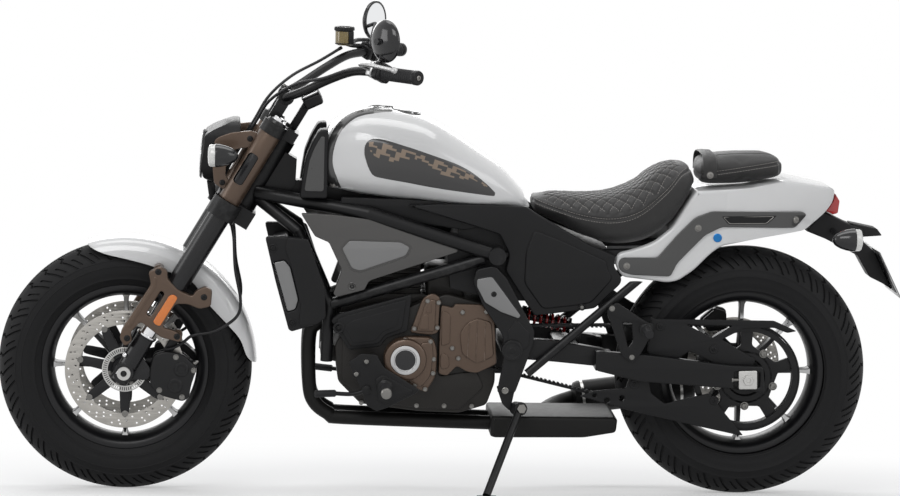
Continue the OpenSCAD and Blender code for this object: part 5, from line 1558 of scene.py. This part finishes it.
bm = bmesh.new()
merge(bm, slab(SHROUD, 10, 4, 122.4, 143, [rounded(grown(INSERT, 1.6), 5, 4)], chamfer=3.5, round_steps=3))
merge(bm, slab([(331, 668), (383, 672), (388, 640), (372, 596), (348, 500), (352, 448), (310, 451),
                (284, 469), (287, 539)], 8, 4, 140, 147.4, chamfer=3))
merge(bm, slab(grown(INSERT, 1.2), 5, 4, 123, 137))
merge(bm, slab(INSERT, 5, 4, 136, 142.4, chamfer=2), index=1)
for x, z in ((419, 644), (368, 456)):
    merge(bm, lathe([(141, 11), (145, 10.4), (146, 8.5), (144.6, 6.8), (144.6, 0.5)], 32), at(x, 0, z))
    merge(bm, bolt((x, 144, z), (0, 1, 0), 5, 3))
both("cooler_shrouds", bm, UPRIGHT, "chassis", [PLASTIC, SILVERGREY], replaces="radiator_shrouds",
     slot="satin_black")

# ---------- Covers on the frame ----------

COVER = [(350, 728), (270, 727), (172, 715), (67, 682), (-45, 643), (-43, 636), (80, 594), (169, 563),
         (178, 558), (188, 537),
         (257, 518), (267, 526), (246, 587), (279, 656), (314, 671)]
DISH = [(252, 642), (230, 666), (98, 664), (69, 648), (83, 621), (199, 580), (224, 587)]
TOP_TUBE = [(-143, 120, 630), (181, 106, 730), (366, 40, 742)]
bm = slab(COVER, 5, 4, 98.5, 118, chamfer=2, round_steps=3)
bm = cut(bm, blank(rounded(DISH, 8, 4), 114.5, 140), "DIFFERENCE")
bm = cut(bm, tube(TOP_TUBE, 17.9, 24), "DIFFERENCE")
bm = cut(bm, tube([(276, 88, 493), (-112, 110, 619)], 16.5, 24), "DIFFERENCE")
merge(bm, slab(grown(DISH, -5), 7, 4, 112, 116.4, chamfer=1.6), index=2)
merge(bm, lathe([(117, 11), (119, 10.5), (119.6, 9), (118, 7), (116.5, 6.8), (116.5, 0.5)], 32),
      at(219, 0, 546))
merge(bm, bolt((219, 116, 546), (0, 1, 0), 5.5, 3.5), index=1)
both("frame_side_covers", bm, UPRIGHT, "chassis", [COVERGREY, BLACK, SILVERGREY], replaces="frame_covers",
     slot="trim_grey",
     smooth=32)

PANEL = [(84, 752), (8, 757), (-98, 758), (-214, 754), (-238, 738), (-300, 703), (-368, 663), (-436, 635),
         (-443, 632), (-440, 606),
         (-461, 574), (-458, 560), (-395, 497), (-348, 490), (-242, 476), (-166, 590), (-175, 631),
         (-150, 682)]
room = [tube(TOP_TUBE, 18, 24),
        blank(rounded([(-92, 596), (-137, 607), (-168, 574), (-242, 439), (-238, 403), (-150, 428),
                       (-110, 503), (-84, 563)], 3, 3), 110, 150)]
bm = slab(PANEL, 8, 4, 98.5, 116, chamfer=4, round_steps=3)
for cutter in room:
    bm = cut(bm, cutter, "DIFFERENCE")
merge(bm, slab([(-236, 696), (-300, 672), (-420, 620), (-424, 600), (-438, 574), (-386, 512), (-346, 504),
                (-262, 494), (-214, 560), (-216, 640)], 12, 4, 112, 119, chamfer=5, round_steps=3))
merge(bm, lathe([(113, 9), (120, 8.4), (121, 7), (119.4, 5.6), (119.4, 0.5)], 28), at(-362, 0, 500), 0)
merge(bm, bolt((-362, 118.6, 500), (0, 1, 0), 4.5, 3), index=1)
both("panels_under_the_seat", bm, UPRIGHT, "chassis", [PLASTIC, BOLT], replaces="side_panels",
     slot="black_plastic",
     smooth=35)

bm = slab([(250, 768), (60, 764), (-60, 758), (-120, 752), (-120, 700), (-60, 690), (60, 706), (181, 742),
           (250, 746)], 5, 3, 82, 97, chamfer=2)
both("tank_side_strips", bm, UPRIGHT, "chassis", PLASTIC, slot="black_plastic")

# ---------- Pivot plates and side stand bracket ----------

PIVOT_PLATE = [(-92, 596), (-137, 606), (-168, 574), (-242, 439), (-238, 403), (-196, 281), (-151, 281),
               (-166, 372),
               (-162, 428), (-110, 503), (-84, 563)]
SILVER = [(-93, 572), (-130, 579), (-160, 540), (-205, 480), (-199, 474), (-155, 490), (-114, 514),
          (-93, 554)]
bm = bmesh.new()
merge(bm, slab(PIVOT_PLATE, 9, 5, 125.2, 139, [circle(-186, 392, 12.1, 40)], chamfer=3, round_steps=3))
merge(bm, slab(grown(SILVER, 2.5), 6, 4, 137, 140.6, chamfer=1.5))
merge(bm, slab(SILVER, 5, 4, 139.6, 145, chamfer=1.6), index=1)
merge(bm, slab([(-176, 366), (-228, 402), (-230, 436), (-196, 470), (-174, 440)], 8, 4, 137.6, 141,
               chamfer=2))
merge(bm, lathe([(143.6, 7), (145.6, 7), (145.6, 5)], 28), at(-136, 0, 535), 0)
merge(bm, bolt((-136, 144.6, 535), (0, 1, 0), 5.5, 3.5), index=0)
merge(bm, lathe([(138, 9), (142, 8.6), (143, 7), (141.5, 5.4), (141.5, 0.4)], 28), at(-171, 0, 288), 2)
mirrored(bm)
STAND_AXIS = Vector((-0.31167, 0.94007, 0.13833))
merge(bm, slab([(-199, 296), (-150, 296), (-166, 250), (-186, 232)], 6, 3, 113, 125, chamfer=2))
merge(bm, turned([(-20, 10), (-20, 16), (-19, 17), (-1, 17), (0, 16), (0, 8)], (-207, 132, 241),
                 STAND_AXIS, 40))
merge(bm, turned([(-4, 7.8), (17, 7.8)], (-207, 132, 241), STAND_AXIS, 32), index=2)
merge(bm, turned([(16.4, 7), (16.4, 12.6), (17.6, 13), (20, 13), (21.4, 12), (21.4, 0.5)],
                 (-207, 132, 241), STAND_AXIS, 6), index=2)
merge(bm, lathe([(-125, 13), (125, 13)], 40), at(-196, 0, 468))
add("pivot_plates_and_bracket", bm, UPRIGHT, "chassis", [BLACK, SILVERGREY, BOLT],
    replaces="pivot_plates", slot="satin_black")

bm = bmesh.new()
merge(bm, slab([(-148, 300), (-148, 496), (-100, 506), (-20, 526), (60, 498), (200, 430), (246, 416),
                (260, 391), (250, 300), (192, 242), (45, 224), (-60, 221), (-128, 242)], 10, 4, -98, 98,
                chamfer=5, round_steps=3))
for y in (-101, 101):
    merge(bm, slab([(-120, 290), (-100, 330), (-3, 316), (0, 520), (60, 498), (200, 428), (240, 410),
                    (240, 300), (180, 252), (45, 234), (-60, 232)], 12, 4, y - 3, y + 3, chamfer=2))
# cylinder foot and the fins over it
merge(bm, slab([(20, 512), (36, 520), (228, 520), (244, 500), (246, 470), (60, 500)], 4, 2, -67, 67,
               chamfer=1))
for i in range(1, 7):
    merge(bm, box(30 + 3 * i, 242 - 2 * i, -66, 66, 520 + 12 * i, 524 + 12 * i, 1.2, 1))
merge(bm, box(44, 228, -58, 58, 505, 597, 6))
merge(bm, box(-70, 30, -62, 62, 505, 592, 12, 3))
merge(bm, lathe([(-64, 25), (64, 25)], 32), at(-80, 0, 545))
merge(bm, slab([(240, 340), (292, 350), (292, 376), (240, 390)], 8, 4, -60, 60, chamfer=3))
merge(bm, lathe([(-72, 6), (-72, 13), (-70, 14), (70, 14), (72, 13), (72, 6)], 32), at(280, 0, 362))
for x in (190, 120, 50, -20, -90):
    for y in (-101, 101):
        merge(bm, hexed((x, y * 1.025, 246 if x > 60 else 240), (0, y, 0), 5, 5), index=1)
add("engine_and_cylinders", bm, UPRIGHT, "chassis", [CASE, BOLT], replaces="engine_block",
    slot="engine_black",
    smooth=35)

# ---------- Swingarm, belt and exhaust ----------

ARM = [(-400, 392), (-526, 384), (-741, 359), (-826, 357), (-832, 288), (-743, 300), (-514, 315),
       (-400, 342)]
AXLE = (-787, 323)
bm = bmesh.new()
merge(bm, slab(ARM, 8, 4, 120, 144, [rounded([(-752, 343), (-818, 343), (-818, 303), (-752, 303)], 5, 3)],
               chamfer=4, round_steps=3))
merge(bm, slab([(-746, 350), (-824, 350), (-824, 296), (-746, 296)], 4, 3, 120, 134,
               [circle(*AXLE, 11.2, 32)]))
merge(bm, slab([(-186, 417), (-300, 412), (-420, 392), (-440, 380), (-440, 345), (-300, 358),
                (-186, 366)], 6, 3, 84, 114, chamfer=3))
merge(bm, slab([(-398, 391), (-440, 388), (-440, 341), (-398, 342)], 3, 2, 84, 143, chamfer=3))
merge(bm, turned([(0, 4), (0, 7), (4, 7), (4, 4.2), (26, 4.2), (26, 7), (31, 7), (31, 0.5)],
                 (-746, 139, 322), (-1, 0, 0), 12), index=1)
merge(bm, lathe([(140.4, 18), (144, 26), (147, 26), (148.2, 24.5), (148.2, 20), (146.6, 19), (146.6, 8),
                 (148, 7), (148, 0.5)], 56),
      at(-186, 0, 392), 0)
merge(bm, lathe([(140.4, 22), (141, 26), (147, 26)], 56), at(-186, 0, 392), 0)
mirrored(bm)
merge(bm, lathe([(-124, 27), (124, 27)], 48), at(-186, 0, 392))
merge(bm, lathe([(-143, 12), (143, 12)], 40), at(-186, 0, 392))
merge(bm, box(-360, -300, -85, 85, 362, 402, 6))
merge(bm, box(-372, -342, -14, 14, 380, 416, 4))
add("rear_fork", bm, UPRIGHT, "chassis", [BLACK, BOLT], replaces="swingarm", slot="satin_black")

bm = lathe([(-149, 1), (-149, 10.9), (149, 10.9), (149, 1)], 32)
for y0, y1 in ((72.5, 119.6), (-119.6, -72.5)):
    merge(bm, lathe([(y0, 11), (y0, 17), (y0 + 1, 18), (y1 - 1, 18), (y1, 17), (y1, 11)], 40))
bm.transform(at(AXLE[0], 0, AXLE[1]))
for side in (1, -1):
    block = slab([(-24, -23), (23, -24), (25, 23), (-22, 25)], 4, 3, 134.4, 149, chamfer=2)
    merge(block, lathe([(148.6, 17), (150.4, 17), (150.4, 10)], 40))
    nut = lathe([(150, 14.5), (153, 14.5), (154.8, 13), (154.8, 7), (152, 6), (152, 0.5)], 6)
    merge(block, nut)
    block.transform(at(AXLE[0], 0, AXLE[1]))
    merge(bm, block if side > 0 else flipped(block))
add("rear_spindle", bm, UPRIGHT, "chassis", STEEL, replaces="rear_axle", slot="axle_steel")

# coil spring over the damper
top, low = Vector((-196, 0, 468)), Vector((-362, 0, 428))
way = (low - top).normalized()
bm = turned([(24, 9), (24, 21), (34, 21.5), (34, 8)], top, way, 36)
length = (low - top).length
merge(bm, turned([(34, 12), (length - 24, 12), (length - 24, 20), (length - 17, 20), (length - 17, 9),
                  (length - 6, 8)], top, way, 36))
merge(bm, turned([(-14.8, 13.4), (-14.8, 21), (-13, 22), (13, 22), (14.8, 21), (14.8, 13.4)], top,
                 (0, 1, 0), 40))
turn = way.to_track_quat("Z", "Y").to_matrix().to_4x4()
coil = tube([(18 * math.cos(a), 18 * math.sin(a), 35 + (length - 60) * a / (14 * math.pi))
             for a in [i * math.pi / 8 for i in range(113)]], 3.8, 8)
merge(bm, coil, Matrix.Translation(top) @ turn, 1)
add("damper_and_spring", bm, UPRIGHT, "chassis", [ENGINE, RED], replaces="rear_shock", slot="satin_black")

GUARD_TOP = [(-537, 478), (-551, 473), (-852, 472), (-911, 446), (-887, 441), (-852, 454), (-774, 451),
             (-720, 422), (-808, 372),
             (-801, 350), (-726, 350), (-640, 392), (-600, 366), (-546, 366), (-530, 392), (-538, 447)]
GUARD_LOW = [(-363, 272), (-400, 287), (-479, 294), (-492, 335), (-533, 335), (-544, 282), (-579, 255),
             (-694, 284), (-723, 246),
             (-784, 175), (-774, 175), (-656, 200), (-477, 240)]
room = blank(grown(ARM, 0.4), 119.6, 150)
low_room = room.copy()
bm = cut(slab(GUARD_TOP, 5, 3, 116.5, 124, [rounded([(-628, 460), (-746, 458), (-696, 426)], 4, 3)],
              chamfer=2), room,
         "DIFFERENCE")
low_guard = cut(slab(GUARD_LOW, 5, 3, 116.5, 124, [circle(-432, 262, 7.5), circle(-470, 268, 7.5),
                                                   circle(-400, 275, 6)], chamfer=2), low_room,
                                                   "DIFFERENCE")
merge(bm, low_guard)
for x, z in ((-562, 455), (-700, 398), (-500, 305), (-706, 265)):
    merge(bm, lathe([(123, 12), (126, 11), (126, 7)], 28), at(x, 0, z))
    merge(bm, bolt((x, 125, z), (0, 1, 0), 5.5, 3))
add("belt_covers", bm, UPRIGHT, "chassis", PLASTIC, replaces="belt_guards", slot="black_plastic")

# teeth on the inner face of the belt's straight runs
front, rear = Vector((-80, 400)), Vector(AXLE)
along = (front - rear).normalized()
ra, rb = 133.3, 44.3
open_angle = math.acos((ra - rb) / (front - rear).length)
bm = bmesh.new()
for sign in (1, -1):
    a = math.atan2(along.y, along.x) + sign * open_angle
    n = Vector((math.cos(a), math.sin(a)))
    p, q = rear + n * ra, front + n * rb
    step = (q - p).normalized()
    turn = Matrix.Rotation(-math.atan2(step.y, step.x), 4, "Y")
    k = 20.0
    while k < (q - p).length - 20:
        c = p + step * k
        merge(bm, box(-3, 3, 90, 110, -3 if sign > 0 else 0.4, -0.4 if sign > 0 else 3, 0.7, 1),
              at(c.x, 0, c.y) @ turn)
        k += 11
add("belt_teeth", bm, UPRIGHT, "chassis", RUBBER, slot="rubber")

bm = slab([(-142, 212), (-140, 160), (-152, 156), (-380, 158), (-462, 172), (-465, 206), (-455, 212)], 9,
          5, -95, 95, chamfer=9, round_steps=4)
for y in (-36, 36):
    merge(bm, tube(smooth_points([(252, y, 462), (306, y, 436), (323, y, 400), (321, y, 280),
                                  (306, y, 232), (268, y, 203), (230, y, 194),
                                  (-141, y, 184)], 6), 18, 28))
    merge(bm, turned([(0, 22), (6, 22), (8, 18)], (256, y, 460), (0.8, 0, -0.6), 28), index=0)
merge(bm, tube(smooth_points([(-296, -94, 190), (-330, -150, 196), (-382, -186, 206)], 6), 22, 28))
can = [(0, 30), (6, 40), (16, 43.6), (290, 43.6), (312, 42), (322, 36), (322, 24), (300, 20), (300, 0.5)]
merge(bm, turned(can, (-378, -186, 206), (-322, -10, 40), 64))
for d in (22, 282):
    merge(bm, turned([(d, 43.4), (d, 44), (d + 7, 44), (d + 7, 43.4)], (-378, -186, 206), (-322, -10, 40),
                     64), index=1)
add("exhaust_and_silencer", bm, UPRIGHT, "chassis", [EXHAUST, STEEL], replaces="exhaust",
    slot="exhaust_black")

bm = slab([(20, 84), (72, 78), (92, 112), (52, 148), (22, 140)], 10, 4, 101, 119, chamfer=4)
merge(bm, slab([(22, 90), (70, 82), (88, 112), (52, 144), (24, 136)], 8, 4, 84.5, 92, chamfer=2))
merge(bm, slab([(30, 124), (52, 146), (60, 142), (40, 122)], 3, 2, 86, 118, chamfer=2))
merge(bm, slab([(30, 100), (70, 90), (70, 30), (40, 30)], 6, 3, 107, 119, chamfer=2))
for x, z in ((40, 100), (64, 98), (48, 132)):
    merge(bm, hexed((x, 118.4, z), (0, 1, 0), 5, 3), index=1)
add("rear_brake_caliper", flipped(bm), REAR_AXLE, "chassis", [ENGINE, BOLT], replaces="rear_caliper",
    slot="caliper_black")

# ---------- Pegs ----------

PEG_PLATE = [(227, 359), (195, 382), (156, 380), (138, 348), (45, 291), (59, 280), (128, 244), (153, 236),
             (178, 249), (194, 294)]
REAR_PEG = [(-521, 471), (-542, 465), (-539, 444), (-511, 389), (-491, 364), (-463, 381), (-420, 497),
            (-445, 520)]
bm = slab(PEG_PLATE, 6, 4, 152, 159, chamfer=2)
merge(bm, slab([(158, 318), (138, 330), (62, 290), (70, 282), (130, 256), (150, 262)], 6, 4, 158, 163,
               chamfer=2.4))
for x, z in ((181, 362), (206, 330)):
    merge(bm, lathe([(158.5, 10), (160.5, 10), (160.5, 6)], 28), at(x, 0, z))
    merge(bm, bolt((x, 159.6, z), (0, 1, 0), 6, 4), index=1)
merge(bm, lathe([(105, 10), (152, 10)], 28), at(181, 0, 362))
merge(bm, lathe([(158, 12), (158, 19), (172, 19), (174, 15), (176, 10), (182, 10), (182, 13.5)], 36),
      at(134, 0, 300))
for i in range(7):
    y = 182 + 9.6 * i
    merge(bm, lathe([(y, 12.6), (y + 1.5, 14), (y + 7, 14), (y + 8.6, 12.6), (y + 9.6, 12.6)], 36),
          at(134, 0, 300), 2)
merge(bm, lathe([(249, 12.6), (250, 13.6), (258, 13.6), (261, 11), (261.6, 6), (261.6, 0.5)], 36),
      at(134, 0, 300), 1)
merge(bm, tube(smooth_points([(180, 161, 290), (214, 163, 280), (262, 167, 282)], 5), 5.4, 16))
merge(bm, turned([(0, 5), (0, 8), (2, 9), (52, 9), (54, 8), (54, 0.5)], (258, 166, 282), (54, 20, 2), 24),
      index=2)
merge(bm, turned([(0, 11), (8, 11), (9, 9), (9, 0.5)], (180, 158, 290), (0, 1, 0), 28))
arm_plate = slab(REAR_PEG, 7, 4, 146, 154, [rounded([(-462, 470), (-486, 468), (-490, 420), (-478, 402)],
                                                    6, 4)], chamfer=2.5)
merge(bm, arm_plate)
merge(bm, lathe([(130, 9), (146.5, 9)], 24), at(-434, 0, 504))
merge(bm, lathe([(153, 12), (153, 16), (164, 16), (166, 11), (170, 9)], 32), at(-520, 0, 452))
merge(bm, lathe([(166, 8), (166, 11), (168, 12), (228, 12), (231.6, 10), (231.6, 0.5)], 32),
      at(-520, 0, 452), 2)
for x, z, r in ((-434, 504, 6), (-488, 380, 5.5), (-528, 458, 3)):
    merge(bm, hexed((x, 153.4, z), (0, 1, 0), r, 4.5), index=1)
both("pegs_and_levers", bm, UPRIGHT, "chassis", [BLACK, BOLT, GRIP], replaces="foot_controls",
     slot="satin_black")

# ---------- Tail light, signals and plate ----------

bm = slab([(-1010.8, 789), (-1023, 770), (-1019.6, 739), (-1008, 735), (-989, 743), (-1007, 771)], 3, 3,
          -42, 42, chamfer=2.5, round_steps=3)
add("rear_lamp", bm, UPRIGHT, "chassis", RED, replaces="tail_light", slot="red_lens")

bm = bmesh.new()
signal(bm, at(-1016, 195, 692) @ Matrix.Rotation(math.pi, 4, "Z"))
merge(bm, turned([(0, 8), (140, 7), (148, 9)], (-1010, 30.6, 692), (0, 1, 0), 24))
both("rear_indicators", bm, UPRIGHT, "chassis", [GLOSS, MILKY], replaces="rear_signals",
     slot="black_plastic")

HANGER = [(-941, 690), (-986, 741), (-1047, 712), (-1090, 697), (-1091, 665), (-1123, 637), (-1141, 601),
          (-1149, 585), (-1171, 541),
          (-1143, 558), (-1111, 573), (-1078, 628), (-993, 670)]
bm = slab(HANGER, 5, 4, -30, 30, chamfer=4, round_steps=3)
merge(bm, slab([(-1055, 712), (-1126, 698), (-1140, 680), (-1088, 676)], 4, 3, -26, 26, chamfer=3))
tilt = at(-1124, 0, 637) @ Matrix.Rotation(math.radians(27), 4, "Y")
merge(bm, box(-2.8, -0.6, -94.5, 94.5, -123.5, 9.5, 0.8), tilt, 1)
merge(bm, box(-0.8, 0.4, -70, 70, -110, 0, 0.4), tilt, 0)
badge = turned([(0, 11), (1.4, 11), (2.2, 9.6), (2.4, 0.5)], (-2.6, 0, -108), (-1, 0, 0), 32)
merge(bm, badge, tilt, 2)
add("plate_carrier", bm, UPRIGHT, "chassis", [PLASTIC, SILVERGREY, RED], replaces="plate_hanger",
    slot="black_plastic")

# ---------- Handlebar, controls and mirrors ----------

BAR = [(10, 34, 798), (10, 64, 800), (-14, 112, 836), (-50, 172, 900), (-84, 230, 950), (-118, 278, 976)]
BAR_END = Vector((-206, 400, 1026))
start = Vector(BAR[-1])
OUT = (BAR_END - start).normalized()


def along_grip(d):
    """Frame with X outwards along the left grip, from distance d."""
    return (Matrix.Translation(start + OUT * d) @ Matrix.Rotation(math.atan2(OUT.y, OUT.x), 4, "Z")
            @ Matrix.Rotation(-math.asin(OUT.z), 4, "Y"))


whole = [(x, -y, z) for x, y, z in reversed(BAR)] + BAR
bm = tube([(-206, -400, 1026)] + [tuple(p) for p in smooth_points(whole, 6)] + [tuple(BAR_END)], 11, 28)
for y in (47, -47):
    merge(bm, box(-5, 25, y - 12, y + 12, 735.5, 790, 3))
    merge(bm, lathe([(y - 12, 9), (y - 12, 19), (y - 10, 20), (y + 10, 20), (y + 12, 19), (y + 12, 9)], 40),
          at(10, 0, 798))
    for x in (-3, 23):
        merge(bm, hexed((x, y, 812), (0, 0, 1), 4.4, 5), index=1)
        merge(bm, turned([(0, 7), (20, 7)], (x, y, 792), (0, 0, 1), 20))
add("bar_and_risers", bm, FORK, "steering", [BLACK, BOLT], replaces="handlebar", slot="satin_black")

bm = bmesh.new()
sleeve = [(56.2, 11.2), (56.2, 19), (60, 19), (62, 17)]
for i in range(12):
    d = 64 + i * 7.6
    sleeve += [(d, 17), (d + 0.9, 16.1), (d + 2.4, 16.1), (d + 3.3, 17)]
sleeve += [(157, 17), (158.4, 16.4), (158.4, 11.2)]
merge(bm, lathe(sleeve, 48, "X"))
merge(bm, lathe([(158.9, 1), (158.9, 17), (160.5, 18), (170, 18), (172.8, 16.5), (172.8, 9), (171.6, 8),
                 (171.6, 1)], 48, "X"), index=1)
merge(bm, lathe([(171.4, 6.4), (173.4, 6.2), (174, 5), (174, 2.6), (172.4, 2.4), (172.4, 0.2)], 24, "X"),
      index=2)
bm.transform(along_grip(0))
both("rubber_grips", bm, FORK, "steering", [GRIP, BLACK, BOLT], replaces="grips", slot="rubber", smooth=35)


def control(shiny):
    """Switch housing, perch and lever of one grip, with the perch and lever bright or black."""
    bm = bmesh.new()
    merge(bm, box(28, 55.6, -24, 22, -20, 24, 8, 4))
    merge(bm, box(40.8, 41.8, -24.4, 22.4, -20.4, 24.4, 8, 4))
    for x, z, i in ((33.5, 12, 0), (33.5, 0, 0), (48, 8, 0), (48, -6, 0)):
        merge(bm, box(x - 3.4, x + 3.4, 20, 25, z - 3, z + 3, 1.5), index=3 if z == 12 else 0)
    merge(bm, box(6, 26, -22, 18, -16, 18, 5, 3), index=1)
    merge(bm, turned([(0, 8), (5, 8), (6, 6.5), (6, 0.5)], (16, -14, 15), (0, 0, 1), 24), index=1)
    lever = [(14, -18, 0), (20, -48, -3), (28, -60, -4), (70, -72, -6), (118, -69, -8), (152, -65, -10)]
    arm = tube(smooth_points(lever, 5), 6.2, 18)
    bmesh.ops.scale(arm, vec=(1, 1, 0.8), verts=arm.verts)
    merge(bm, arm, index=1)
    merge(bm, turned([(0, 0.5), (0, 6), (4, 8), (10, 7.4), (13, 4), (13.6, 0.5)], (148, -65.5, -8),
                     (1, 0.12, 0), 24), index=1)
    merge(bm, hexed((14, -18, 5), (0, 0, 1), 5, 5), index=2)
    bm.transform(along_grip(0))
    for f in bm.faces:
        if f.material_index == 1 and not shiny:
            f.material_index = 0
    return bm


bm = flipped(control(False))
left = control(True)
bmesh.ops.recalc_face_normals(left, faces=left.faces)
merge(bm, left, index=None)
pot = at(-64, -226, 970) @ Matrix.Rotation(RAKE, 4, "Y")
merge(bm, lathe([(0, 0.5), (0, 19), (2, 22), (4, 23.6), (36, 23.6), (39.6, 22.6), (39.6, 10)], 48, "Z"),
      pot, 4)
cap_profile = [(38, 22), (38.4, 26), (46, 26), (48, 24.6), (48, 17), (46.8, 16), (46.8, 0.4)]
merge(bm, lathe(cap_profile, 48, "Z"), pot, 0)
for i in range(24):
    merge(bm, box(25.6, 26.4, -1.4, 1.4, 39.4, 45, 0.3, 1), pot @ Matrix.Rotation(2 * math.pi * i / 24, 4,
            "Z"), 0)
for d in (3, 36):
    merge(bm, lathe([(d, 23.4), (d + 0.4, 24), (d + 3, 24), (d + 3.4, 23.4)], 48, "Z"), pot, 0)
merge(bm, box(-23.9, -10, 12, 23.9, 4, 37, 1), pot, 0)
merge(bm, tube(smooth_points([(-66, -228, 976), (-84, -252, 979), (-106, -282, 988)], 5), 6, 18), index=0)
add("levers_and_switches", bm, FORK, "steering",
    [PLASTIC, Shade("brushed_aluminium", (0.42, 0.42, 0.42), 0.34, metal=1.0, grain=0.15, spread=0.08),
     BOLT, RED,
     Shade("brake_fluid_window", (0.16, 0.11, 0.02), 0.16, coat=0.7, spread=0.2, vary=40)],
    replaces="bar_controls", slot="black_plastic", smooth=35)

head = (at(-104, 342, 1060) @ Matrix.Rotation(RAKE, 4, "Y") @ Matrix.Rotation(math.radians(35), 4, "Z")
        @ Matrix.Rotation(-math.pi / 2, 4, "Y"))
bm = lathe([(6.4, 45.6), (8, 46.4), (8, 49), (6.8, 51.2), (4, 52), (0, 51.6), (-5, 47), (-11, 38.4),
            (-15, 24), (-17.4, 8), (-18, 0.4)],
           72, "Z")
merge(bm, lathe([(6.6, 46), (6.9, 30), (7, 0.3)], 72, "Z"), index=1)
merge(bm, turned([(0, 9), (10, 8)], (0, 0, -17), (0, 0, -1), 24))
bm.transform(head)
arm = bmesh.new()
merge(arm, turned([(0, 7), (3, 7), (3, 8), (10, 8), (11, 6), (14, 6)], (15, 6, 18.3), (0, 0, 1), 6))
merge(arm, tube(smooth_points([(15, 6, 30), (19, -2, 44), (32, -14, 58), (50, -27, 61), (64, -38, 62)],
                              5), 5, 16))
arm.transform(along_grip(0))
merge(bm, arm)
both("rear_view_mirrors", bm, FORK, "steering", [GLOSS, MIRROR], replaces="mirrors", slot="mirror_glass",
     smooth=40)

LINE = [(42, 64, 770), (43, 50, 700), (43, 48, 600), (38, 48, 540), (24, 48, 507.6)]
LEFT_LINE = [(-105.5, 291, 978.5), (-69, 240, 944), (-34, 186, 895), (12, 120, 842)] + LINE
RIGHT_LINE = [(-62, 232, 961), (-30, 200, 905), (16, 120, 840)] + LINE
BRAKE_LINE = [(-34, 66, 458), (-60, 84, 430), (-104, 96, 365), (-156, 104, 305), (-168, 106, 262),
              (-140, 106, 205),
              (-100, 104, 168), (-88, 101, 138), (-75, 98, 115), (-61.6, 98, 101.6)]


CABLE_R = 3.9


def cable(route):
    """Cable along a route, with a ferrule at either end."""
    path = smooth_points(route, 6)
    bm = tube(path, CABLE_R, 14)
    ferrule = [(0, 1), (0, CABLE_R + 0.8), (9, CABLE_R + 0.8), (10, CABLE_R)]
    for a, b in ((path[0], path[1]), (path[-1], path[-2])):
        merge(bm, turned(ferrule, a, b - a, 16), index=1)
    return bm


bm = cable(BRAKE_LINE)
mirrored(bm)
right = flipped(cable(RIGHT_LINE))
merge(bm, right, index=None)
merge(bm, cable(LEFT_LINE), index=None)
add("cables", bm, FORK, "steering", [CABLE, BLACK], replaces="hoses", slot="hose_black", smooth=45)

gauge = at(-52, 0, 824) @ Matrix.Rotation(RAKE + math.radians(25), 4, "Y")
bm = bmesh.new()
merge(bm, box(-24, 24, -52, 52, -16, 13.2, 7, 4), gauge)
merge(bm, box(-24, 24, -52, 52, 12, 16, 1.8, 2), gauge)
merge(bm, box(-19.6, 19.6, -46, 46, 14, 16.6, 1.2, 2), gauge, 1)
merge(bm, box(-57, -37, -11.6, 11.6, 734.6, 806, 3))
add("gauge", bm, FORK, "steering", [PLASTIC, GLOSS], replaces="instrument", slot="black_plastic")

# ---------- CAD pieces that stay, with their finishes ----------

FINISHES = {
    "front_axle": STEEL, "fork_clamps": BLACK, "main_frame": BLACK, "down_tubes": BLACK,
    "side_tubes": BLACK, "subframe": BLACK, "side_stand": BLACK, "battery_box": PLASTIC,
    "drive_belt": RUBBER,
}
for name, shade in FINISHES.items():
    mesh = NODES[name].data
    mesh.materials.clear()
    mesh.materials.append(shade.mat)
